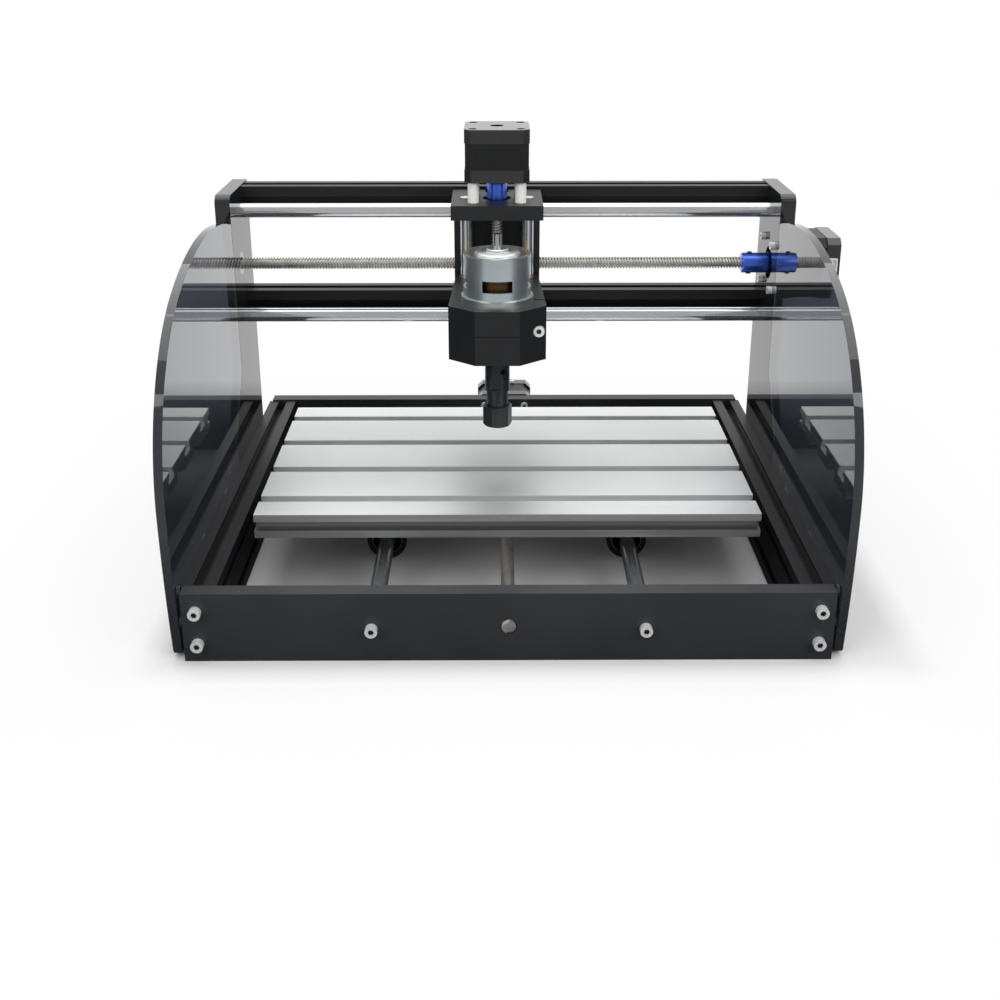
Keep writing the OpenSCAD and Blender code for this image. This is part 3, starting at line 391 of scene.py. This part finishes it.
# Moulded nylon: milky white with a soft sheen.
NYLON = Finish("nylon_white", "#fdfcf7", "#f8f6ee", (0.34, 0.46), (0.4, 0.4, 0.4), 0.004, 9.0)
# Zinc-plated cold-headed screws: bright, slightly uneven plating, with painted shade darkening the sockets.
ZINC_SCREW = SocketScrew("zinc_plated_screws", "#f8f8f8", "#eeeff0", (0.24, 0.36), (0.35, 0.35, 0.35), 0.003,
                         5.0, 0.4)
# Clear anodised extrusion: pale satin metal with faint lines along the slots, and painted shade in the edge grooves.
TABLE = GroovedAluminium("aluminium_anodised_clear", "#f0f1f1", "#e8eaea", (0.36, 0.47), (140.0, 0.9, 0.9), 0.005,
                         80.0, 1.0)
# Glass-filled ABS moulding: black, with the fine texture that spark erosion leaves in the mould.
MOULDED = Finish("abs_moulded_black", "#1c1d1f", "#17181a", (0.36, 0.5), (0.45, 0.45, 0.45), 0.012, 30.0, 0.0, 0.4)
# Turned brass: warm, with fine tool rings.
BRASS = Finish("brass_turned", "#c8a45c", "#b08c46", (0.2, 0.32), (0.5, 0.5, 0.5), 0.003, 6.0, 1.0)
# Sintered bronze: matt, with open pores.
BRONZE = Finish("bronze_sintered", "#a8814a", "#8d6a3a", (0.4, 0.55), (0.3, 0.3, 0.3), 0.02, 5.0, 1.0)
# Zinc plate over a deep-drawn steel can: grey metal with draw marks up its side.
ZINC_CAN = Finish("zinc_plated_drawn_steel", "#cad2d5", "#bcc6c9", (0.28, 0.34), (1.2, 1.2, 9.0), 0.0002, 14.0, 0.9)
# Zinc on the stamped cap and ring: a little duller, so that the steps gather light from above.
ZINC_CAP = Finish("zinc_plated_stamped_steel", "#c9ccc9", "#b8bcba", (0.3, 0.4), (0.6, 0.6, 0.6), 0.003, 9.0, 1.0)
# Ground shaft steel: bright and plain.
SHAFT = Finish("ground_steel_shaft", "#b7babd", "#a9acb0", (0.14, 0.24), (0.6, 0.6, 0.5), 0.002, 12.0, 1.0)
# Enamelled copper wire: brown varnish over bundled strands.
COPPER = Finish("copper_winding_varnished", "#55401f", "#352612", (0.25, 0.4), (0.9, 0.9, 6.0), 0.15, 8.0, 0.6)
# Black oxide on turned steel: almost black, with an oily sheen.
BLACK_OXIDE = Finish("black_oxide_steel", "#2e3032", "#242628", (0.26, 0.38), (0.6, 0.6, 0.4), 0.004, 12.0, 0.5, 0.5)
# Blue anodised turned aluminium: deep colour that flashes bright where it mirrors the light.
BLUE = Finish("aluminium_anodised_blue", "#4470e6", "#3a62d2", (0.26, 0.36), (0.5, 0.5, 0.5), 0.003, 10.0, 1.0, 0.5,
              0.8, 0.12)
# Rolled lead screw steel: brownish grey with bright worn crests.
SCREW_ROD = Finish("rolled_steel_screw", "#cfcdc6", "#b9b6ae", (0.26, 0.4), (0.5, 0.5, 0.5), 0.004, 7.0, 0.85)
# Ground shells of the linear bearings, with their rubber seals.
TABLE_BEARING = SealedBearing("bearing_steel_sealed_y", "#b0b3b6", "#9da0a4", (0.22, 0.34), (0.5, 0.5, 0.5), 0.003, 9.0,
                              1.0, axis=Axis.Y, centres_mm=((-91.0, 0.0, 20.0), (61.0, 0.0, 20.0)))
CARRIAGE_BEARING = SealedBearing("bearing_steel_sealed_x", "#b0b3b6", "#9da0a4", (0.22, 0.34), (0.5, 0.5, 0.5), 0.003,
                                 9.0, 1.0, axis=Axis.X, centres_mm=((0.0, 65.0, 205.3), (0.0, 65.0, 131.3)))
RING_STEEL = Finish("bearing_steel_ground", "#b0b3b6", "#9da0a4", (0.2, 0.32), (0.5, 0.5, 0.5), 0.003, 9.0, 1.0)


@dataclass
class FinishShelf:
    """Keeps one material for each finish, so that every node with it shares one."""

    made: dict[str, bpy.types.Material] = field(default_factory=dict)

    def get(self, finish: Any) -> bpy.types.Material:
        """Return the finish's material, made on first use."""
        if finish.name not in self.made:
            self.made[finish.name] = finish.make()
        return self.made[finish.name]

    def dress(self, names: list[str], finish: Any) -> None:
        """Give CAD nodes a finish.

        Args:
            names: The nodes.
            finish: The finish that replaces what they were packed with.
        """
        for name in names:
            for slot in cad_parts[name].material_slots:
                slot.link = "OBJECT"
                slot.material = self.get(finish)
            LOG.info("node %s: %s", name, finish.name)


def to_object(bm: bmesh.types.BMesh, name: str, body: str, material: bpy.types.Material) -> bpy.types.Object:
    """Turn a finished bmesh into a piece that rides on a body.

    Args:
        bm: The mesh in the row frame, in metres; it is freed.
        name: The piece's name.
        body: The CAD body that carries it.
        material: Its material.

    Returns:
        The new object.
    """
    mesh = bpy.data.meshes.new(name)
    bm.to_mesh(mesh)
    bm.free()
    mesh.materials.append(material)
    mesh.polygons.foreach_set("use_smooth", [True] * len(mesh.polygons))
    mesh.set_sharp_from_angle(angle=math.radians(SHARP_DEG))
    piece = bpy.data.objects.new(name, mesh)
    bpy.context.scene.collection.objects.link(piece)
    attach(piece, body)
    LOG.info("piece %s on %s: %d faces", name, body, len(mesh.polygons))
    return piece


@dataclass
class LeadScrew:
    """A trapezoidal lead screw: two starts of 2 mm pitch, right-handed."""

    node: str
    body: str
    axis: Axis
    pitch_mm: float = 2.0
    starts: int = 2
    depth_mm: float = 1.1
    crest_mm: float = 0.73
    flank_mm: float = 0.33
    steps: int = 24
    lead_in: float = 1.5

    def build(self, shelf: FinishShelf) -> bpy.types.Object:
        """Sweep the thread's section along the screw and put it in the plain bar's place.

        Args:
            shelf: The finishes.

        Returns:
            The threaded piece, which replaces the bar.
        """
        low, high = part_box(self.node)
        span = high - low
        length = max(span)
        radius = min(span) / 2
        lead = self.pitch_mm * self.starts * MM
        turns = math.ceil(length / lead + 2 * self.lead_in)
        bm = bmesh.new()
        section = [bm.verts.new((x, y, 0.0)) for x, y in self.section(radius)]
        edges = [bm.edges.new(pair) for pair in zip(section, section[1:])]
        bmesh.ops.spin(bm, geom=section + edges, cent=(0, 0, 0), axis=(1, 0, 0), dvec=(lead / self.steps, 0, 0),
                       angle=2 * math.pi * turns, steps=self.steps * turns, use_merge=False)
        bmesh.ops.remove_doubles(bm, verts=bm.verts[:], dist=WELD_M)
        start = self.lead_in * lead
        for place, outward in ((start, -1.0), (start + length, 1.0)):
            bmesh.ops.bisect_plane(bm, geom=bm.verts[:] + bm.edges[:] + bm.faces[:], plane_co=(place, 0, 0),
                                   plane_no=(outward, 0, 0), clear_outer=True)
            bmesh.ops.edgeloop_fill(bm, edges=[e for e in bm.edges if e.is_boundary
                                               and all(abs(v.co.x - place) < ON_PLANE_M for v in e.verts)])
        bmesh.ops.recalc_face_normals(bm, faces=bm.faces[:])
        place = Matrix.Translation((low + high) / 2) @ turned_to(Axis.X, Vector(self.axis.value))
        bmesh.ops.transform(bm, verts=bm.verts[:], matrix=place @ Matrix.Translation((-start - length / 2, 0, 0)))
        piece = to_object(bm, f"{self.node}_thread", self.body, shelf.get(SCREW_ROD))
        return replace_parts(piece, self.node)

    def section(self, radius: float) -> list[tuple[float, float]]:
        """Return the thread's section over one lead, as places along the screw and radii."""
        inner = radius - self.depth_mm * MM
        points = [(0.0, radius)]
        for start in range(self.starts):
            at = start * self.pitch_mm
            root_end = at + self.pitch_mm - self.flank_mm
            points += [((at + self.crest_mm) * MM, radius), ((at + self.crest_mm + self.flank_mm) * MM, inner),
                       (root_end * MM, inner), ((at + self.pitch_mm) * MM, radius)]
        return points


@dataclass
class Coupling:
    """A turned shaft coupling with chamfered ends and a pair of socket set screws near each end."""

    node: str
    body: str
    axis: Axis
    side: tuple[float, float, float]
    chamfer_mm: float = 0.9
    in_mm: float = 5.5
    radius_mm: float = 1.7
    socket_mm: float = 0.95
    socket_deep_mm: float = 1.6
    length_mm: float = 2.4
    proud_mm: float = 0.65
    rim_steps: int = 24
    socket_sides: int = 6

    def build(self, shelf: FinishShelf) -> None:
        """Model the turned body and its four screws."""
        low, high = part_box(self.node)
        middle = (low + high) / 2
        length = max(high - low)
        radius = min(high - low) / 2
        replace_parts(self.turned(shelf, middle, length, radius), self.node)
        self.screws(shelf, middle, length / 2 - self.in_mm * MM, radius)

    def turned(self, shelf: FinishShelf, middle: Vector, length: float, radius: float) -> bpy.types.Object:
        """Turn the body.

        Args:
            shelf: The finishes.
            middle: Its middle.
            length: Its length.
            radius: Its radius.

        Returns:
            The piece that stands for the plain coupling.
        """
        bm = bmesh.new()
        place = Matrix.Translation(middle) @ turned_to(Axis.Z, Vector(self.axis.value))
        bmesh.ops.create_cone(bm, cap_ends=True, segments=ROUND_STEPS, radius1=radius, radius2=radius, depth=length,
                              matrix=place)
        rims = [e for e in bm.edges if any(len(f.verts) > 4 for f in e.link_faces)]
        bmesh.ops.bevel(bm, geom=rims, offset=self.chamfer_mm * MM, offset_type="OFFSET", segments=2, profile=0.5,
                        affect="EDGES", material=-1)
        return to_object(bm, f"{self.node}_turned", self.body, shelf.get(BLUE))

    def screws(self, shelf: FinishShelf, middle: Vector, reach: float, radius: float) -> bpy.types.Object:
        """Model the four set screws as one piece.

        Args:
            shelf: The finishes.
            middle: The coupling's middle.
            reach: How far from it the screws are.
            radius: The coupling's radius.

        Returns:
            The piece.
        """
        bm = bmesh.new()
        for end in (-1, 1):
            for way in (-1, 1):
                out = Vector(self.side) * way
                top = middle + Vector(self.axis.value) * reach * end + out * (radius + self.proud_mm * MM)
                self.one(bm, Matrix.Translation(top) @ turned_to(Axis.Z, out))
        bmesh.ops.recalc_face_normals(bm, faces=bm.faces[:])
        return to_object(bm, f"{self.node}_set_screws", self.body, shelf.get(BLACK_OXIDE))

    def one(self, bm: bmesh.types.BMesh, place: Matrix) -> None:
        """Add one set screw whose top is at the place's origin and faces its +Z.

        Args:
            bm: The mesh that takes it.
            place: Where it goes.
        """
        loops = []
        for radius, steps in ((self.radius_mm, self.rim_steps), (self.socket_mm, self.socket_sides)):
            ring = bmesh.ops.create_circle(bm, cap_ends=False, radius=radius * MM, segments=steps, matrix=place)
            loops.append(list(dict.fromkeys(e for v in ring["verts"] for e in v.link_edges)))
        bmesh.ops.bridge_loops(bm, edges=loops[0] + loops[1])
        down = place.to_3x3() @ Vector((0, 0, -1))
        for loop, deep in ((loops[0], self.length_mm), (loops[1], self.socket_deep_mm)):
            made = bmesh.ops.extrude_edge_only(bm, edges=loop)["geom"]
            verts = [g for g in made if isinstance(g, bmesh.types.BMVert)]
            bmesh.ops.translate(bm, verts=verts, vec=down * deep * MM)
            bmesh.ops.edgeloop_fill(bm, edges=[g for g in made if isinstance(g, bmesh.types.BMEdge)
                                               and all(v in verts for v in g.verts)])


@dataclass
class MachineFrame:
    """The fixed frame: panels, profiles, uprights, guards, beams and rods."""

    panels: list[str] = field(default_factory=lambda: ["front_panel", "rear_panel"])
    y_rod_rough: tuple[float, float] = (0.2, 0.23)
    uprights: list[str] = field(default_factory=lambda: ["left_upright", "right_upright"])
    guards: list[str] = field(default_factory=lambda: ["left_guard", "right_guard"])
    profiles: list[str] = field(default_factory=lambda: ["left_y_profile", "right_y_profile"])
    screws: list[str] = field(default_factory=lambda: ["frame_screws", "guard_screws", "upright_screws",
                                                       "motor_screws"])

    def dress(self, shelf: FinishShelf) -> None:
        """Give the frame's nodes their finishes."""
        shelf.dress(self.panels, PHENOLIC)
        shelf.dress(self.uprights, PHENOLIC_POLISHED)
        shelf.dress(self.guards, ACRYLIC)
        shelf.dress(self.profiles, black_extrusion(Axis.Y))
        shelf.dress(["x_beams"], black_extrusion(Axis.X))
        shelf.dress(["x_rods"], ground_chrome(Axis.X))
        shelf.dress(["y_rods"], ground_chrome(Axis.Y, self.y_rod_rough))
        shelf.dress(self.screws, ZINC_SCREW)
        shelf.dress(["screw_bearings"], RING_STEEL)


@dataclass
class SlottedTable:
    """The table on its bearing blocks."""

    blocks: list[str] = field(default_factory=lambda: ["table_bearing_blocks", "y_nut_block"])

    def dress(self, shelf: FinishShelf) -> None:
        """Give the table's nodes their finishes."""
        shelf.dress(["table_plate"], TABLE)
        shelf.dress(self.blocks, MOULDED)
        shelf.dress(["table_bearings"], TABLE_BEARING)
        shelf.dress(["y_nut"], BRASS)
        shelf.dress(["table_screws"], ZINC_SCREW)


@dataclass
class Motors:
    """The three stepper motors with their plugs and shafts."""

    plugs: list[str] = field(default_factory=lambda: ["motor_connectors", "z_motor_connector"])

    def dress(self, shelf: FinishShelf) -> None:
        """Give the motors' nodes their finishes."""
        for axis in Axis:
            letter = axis.name.lower()
            shelf.dress([f"{letter}_motor_stack"], motor_stack(axis))
            shelf.dress([f"{letter}_motor_bells"], BELL)
            shelf.dress([f"{letter}_motor_shaft"], SHAFT)
        shelf.dress(self.plugs, NYLON)


@dataclass
class Carriage:
    """The X carriage with the Z rods and standoffs."""

    nylon: list[str] = field(default_factory=lambda: ["z_standoffs"])

    def dress(self, shelf: FinishShelf) -> None:
        """Give the carriage's nodes their finishes."""
        shelf.dress(["x_carriage"], MOULDED)
        shelf.dress(["x_bearings"], CARRIAGE_BEARING)
        shelf.dress(["x_nut"], BRASS)
        shelf.dress(["z_rods"], ground_chrome(Axis.Z))
        shelf.dress(self.nylon, NYLON)
        shelf.dress(["z_screw_bearing"], RING_STEEL)


@dataclass
class Spindle:
    """The clamped spindle motor, its rotor and its collet."""

    cap_section_mm: tuple[tuple[float, float], ...] = (
        (2.6, -3.4), (2.6, 3.0), (6.3, 3.0), (7.0, 2.3), (7.0, 1.5), (7.7, 1.0), (12.9, 0.9), (13.8, 0.2), (14.3, -0.7),
        (17.2, -0.9), (18.4, -0.1), (20.0, 0.0), (20.0, -3.4))
    nose: list[str] = field(default_factory=lambda: ["collet_holder", "collet_nut"])

    def dress(self, shelf: FinishShelf) -> None:
        """Give the spindle's nodes their finishes."""
        shelf.dress(["spindle_clamp"], MOULDED)
        shelf.dress(["z_bushes"], BRONZE)
        shelf.dress(["z_nut", "spindle_terminals"], BRASS)
        shelf.dress(["clamp_screw"], ZINC_SCREW)
        shelf.dress(["spindle_can"], ZINC_CAN)
        shelf.dress(["flux_ring"], ZINC_CAP)
        shelf.dress(["rotor_shaft", "collet"], SHAFT)
        shelf.dress(["rotor_armature"], COPPER)
        shelf.dress(self.nose, BLACK_OXIDE)
        self.stamp_cap(shelf)

    def stamp_cap(self, shelf: FinishShelf) -> bpy.types.Object:
        """Spin the can's stamped cap: a rolled rim, a raised step and the bearing boss.

        Args:
            shelf: The finishes.

        Returns:
            The cap, which replaces the plain disc.
        """
        low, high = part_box("spindle_can")
        centre = ((low.x + high.x) / 2, (low.y + high.y) / 2, high.z)
        bm = bmesh.new()
        ring = [bm.verts.new((r * MM, 0.0, z * MM)) for r, z in self.cap_section_mm]
        edges = [bm.edges.new(pair) for pair in zip(ring, ring[1:] + ring[:1])]
        bmesh.ops.spin(bm, geom=ring + edges, cent=(0, 0, 0), axis=(0, 0, 1), angle=2 * math.pi, steps=ROUND_STEPS,
                       use_merge=True)
        bmesh.ops.remove_doubles(bm, verts=bm.verts[:], dist=WELD_M)
        bmesh.ops.recalc_face_normals(bm, faces=bm.faces[:])
        bmesh.ops.translate(bm, verts=bm.verts[:], vec=centre)
        cap = to_object(bm, "spindle_cap_stamped", "z_slide_body", shelf.get(ZINC_CAP))
        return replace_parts(cap, "spindle_end_cap")


@dataclass
class Drive:
    """The three screw drives: threads, couplings and their set screws."""

    screw_sides: tuple[tuple[Axis, Axis], ...] = ((Axis.X, Axis.Z), (Axis.Y, Axis.X), (Axis.Z, Axis.X))

    def build(self, shelf: FinishShelf) -> None:
        """Build each axis's thread, and its coupling with the set screws on either side."""
        for axis, side in self.screw_sides:
            letter = axis.name.lower()
            LeadScrew(f"{letter}_lead_screw", f"{letter}_screw", axis).build(shelf)
            Coupling(f"{letter}_coupling", f"{letter}_screw", axis, side.value).build(shelf)


@dataclass(frozen=True)
class Softbox:
    """One soft lamp: its place and target in metres, its width and depth, and its power in watts."""

    name: str
    place: tuple[float, float, float]
    target: tuple[float, float, float]
    size: tuple[float, float]
    power: float

    def hang(self) -> None:
        """Add the lamp to the scene."""
        light = bpy.data.lights.new(self.name, "AREA")
        light.shape = "RECTANGLE"
        light.size, light.size_y = self.size
        light.energy = self.power
        lamp = bpy.data.objects.new(self.name, light)
        lamp.location = self.place
        lamp.rotation_euler = (Vector(self.target) - Vector(self.place)).to_track_quat("-Z", "Y").to_euler()
        bpy.context.scene.collection.objects.link(lamp)


@dataclass
class Studio:
    """Floor, soft light and camera."""

    eye_mm: tuple[float, float, float] = (-22.383, -777.548, 377.804)
    pitch: float = 0.345559
    yaw: float = -0.005658
    lens_mm: float = 44.820
    sensor_mm: float = 36.0
    clip_m: tuple[float, float] = (0.01, 50.0)
    shift: tuple[float, float] = (-0.00156, -0.11)
    floor_half_m: float = 8.0
    sky: float = 0.62
    front: float = 0.5
    paper: float = 0.13
    paper_seen: float = 0.75
    footprint_m: tuple[float, float] = (0.205, 0.178)
    shadow_m: float = 0.16
    edge_m: float = 0.02
    whitened: float = 0.72
    rear_m: tuple[float, float] = (0.18, 0.3)
    ahead_m: tuple[float, float] = (-0.2, -0.32)
    dim_way: tuple[float, float] = (-0.7, 0.1)
    lamps: tuple[Softbox, ...] = (
        Softbox("overhead_softbox", (0.0, -0.25, 1.8), (0.0, 0.0, 0.1), (1.8, 1.0), 8.0),
        Softbox("rear_softbox", (0.0, 0.75, 1.7), (0.0, 0.0, 0.1), (2.4, 1.2), 13.0),
        Softbox("left_softbox", (-1.3, -1.3, 1.15), (0.0, 0.0, 0.12), (1.3, 1.1), 11.0),
        Softbox("right_softbox", (1.3, -1.3, 1.15), (0.0, 0.0, 0.12), (1.3, 1.1), 14.0))

    def build(self) -> None:
        """Make the floor, the world, the lamps and the camera."""
        self.floor()
        self.world()
        for lamp in self.lamps:
            lamp.hang()
        self.camera()

    def floor(self) -> None:
        """Lay the pale floor, which shows as white where no shadow falls."""
        bm = bmesh.new()
        bmesh.ops.create_grid(bm, x_segments=1, y_segments=1, size=self.floor_half_m)
        mesh = bpy.data.meshes.new("studio_floor")
        bm.to_mesh(mesh)
        bm.free()
        material = blank_material("studio_floor_paper")
        tree = material.node_tree
        path = add(tree, "ShaderNodeLightPath")
        shade = add(tree, "ShaderNodeMath", {"operation": "MULTIPLY_ADD", 1: self.paper_seen - self.paper,
                                             2: self.paper}, {0: path.outputs["Is Camera Ray"]})
        pale = add(tree, "ShaderNodeCombineXYZ", None, {i: shade.outputs[0] for i in range(3)})
        paper = add(tree, "ShaderNodeBsdfDiffuse", None, {"Color": pale.outputs[0]})
        place = add(tree, "ShaderNodeTexCoord").outputs["Object"]
        folded = add(tree, "ShaderNodeVectorMath", {"operation": "ABSOLUTE"}, {0: place})
        past = add(tree, "ShaderNodeVectorMath", {"operation": "SUBTRACT", 1: (*self.footprint_m, 0.0)},
                   {0: folded.outputs[0]})
        outside = add(tree, "ShaderNodeVectorMath", {"operation": "MAXIMUM", 1: (0.0, 0.0, 0.0)}, {0: past.outputs[0]})
        away = add(tree, "ShaderNodeVectorMath", {"operation": "LENGTH"}, {0: outside.outputs[0]})
        edge = add(tree, "ShaderNodeMapRange", {"From Max": self.edge_m, "To Max": self.whitened},
                   {"Value": away.outputs["Value"]})
        fade = add(tree, "ShaderNodeMapRange", {"From Max": self.shadow_m, "To Max": 1.0 - self.whitened},
                   {"Value": away.outputs["Value"]})
        far = add(tree, "ShaderNodeMath", {"operation": "ADD"}, {0: edge.outputs[0], 1: fade.outputs[0]})
        along = add(tree, "ShaderNodeSeparateXYZ", None, {0: place}).outputs["Y"]
        rear = add(tree, "ShaderNodeMapRange", {"From Min": self.rear_m[0], "From Max": self.rear_m[1]},
                   {"Value": along})
        ahead = add(tree, "ShaderNodeMapRange", {"From Min": self.ahead_m[0], "From Max": self.ahead_m[1],
                                                 "To Max": self.front}, {"Value": along})
        bright = add(tree, "ShaderNodeMath", {"operation": "MAXIMUM"}, {0: rear.outputs[0], 1: ahead.outputs[0]})
        mirrored = add(tree, "ShaderNodeMath", {"operation": "MULTIPLY"},
                       {0: mirror_ray(tree, path), 1: bright.outputs[0]})
        share = add(tree, "ShaderNodeMath", {"operation": "MULTIPLY_ADD"},
                    {0: path.outputs["Is Camera Ray"], 1: far.outputs[0], 2: mirrored.outputs[0]})
        backdrop = add(tree, "ShaderNodeEmission", {"Color": WHITE, "Strength": 1.0})
        sweep = add(tree, "ShaderNodeMixShader", None,
                    {0: share.outputs[0], 1: paper.outputs[0], 2: backdrop.outputs[0]})
        add(tree, "ShaderNodeOutputMaterial", None, {"Surface": sweep.outputs[0]})
        mesh.materials.append(material)
        floor = bpy.data.objects.new("studio_floor", mesh)
        bpy.context.scene.collection.objects.link(floor)

    def world(self) -> None:
        """Make the sky: white where the camera or a mirror sees it, dimmer in front, and soft fill otherwise."""
        world = bpy.data.worlds.new("studio")
        bpy.context.scene.world = world
        world.use_nodes = True
        tree = world.node_tree
        tree.nodes.clear()
        path = add(tree, "ShaderNodeLightPath")
        way = add(tree, "ShaderNodeSeparateXYZ", None, {0: add(tree, "ShaderNodeTexCoord").outputs["Generated"]})
        behind = add(tree, "ShaderNodeMapRange", {"From Min": self.dim_way[0], "From Max": self.dim_way[1],
                                                  "To Min": self.front, "To Max": 1.0}, {"Value": way.outputs["Y"]})
        fill = add(tree, "ShaderNodeMix", {2: self.sky}, {0: mirror_ray(tree, path), 3: behind.outputs[0]})
        level = add(tree, "ShaderNodeMix", {3: 1.0}, {0: path.outputs["Is Camera Ray"], 2: fill.outputs[0]})
        sky = add(tree, "ShaderNodeBackground", {"Color": WHITE}, {"Strength": level.outputs[0]})
        add(tree, "ShaderNodeOutputWorld", None, {"Surface": sky.outputs[0]})

    def camera(self) -> None:
        """Set the camera where the photograph was taken from."""
        data = bpy.data.cameras.new("camera")
        data.sensor_width = self.sensor_mm
        data.lens = self.lens_mm
        data.shift_x, data.shift_y = self.shift
        data.clip_start, data.clip_end = self.clip_m
        camera = bpy.data.objects.new("camera", data)
        camera.location = [c * MM for c in self.eye_mm]
        camera.rotation_euler = (math.pi / 2 - self.pitch, 0.0, self.yaw)
        bpy.context.scene.collection.objects.link(camera)
        bpy.context.scene.camera = camera


def main() -> None:
    """Build and dress every sub-assembly, then the studio."""
    logging.basicConfig(level=logging.INFO, format="%(name)s %(relativeCreated)d ms: %(message)s")
    bpy.context.scene.view_settings.view_transform = "Standard"
    shelf = FinishShelf()
    for part in (MachineFrame(), SlottedTable(), Motors(), Carriage(), Spindle()):
        part.dress(shelf)
    Drive().build(shelf)
    Studio().build()


if __name__ == "__main__":
    main()
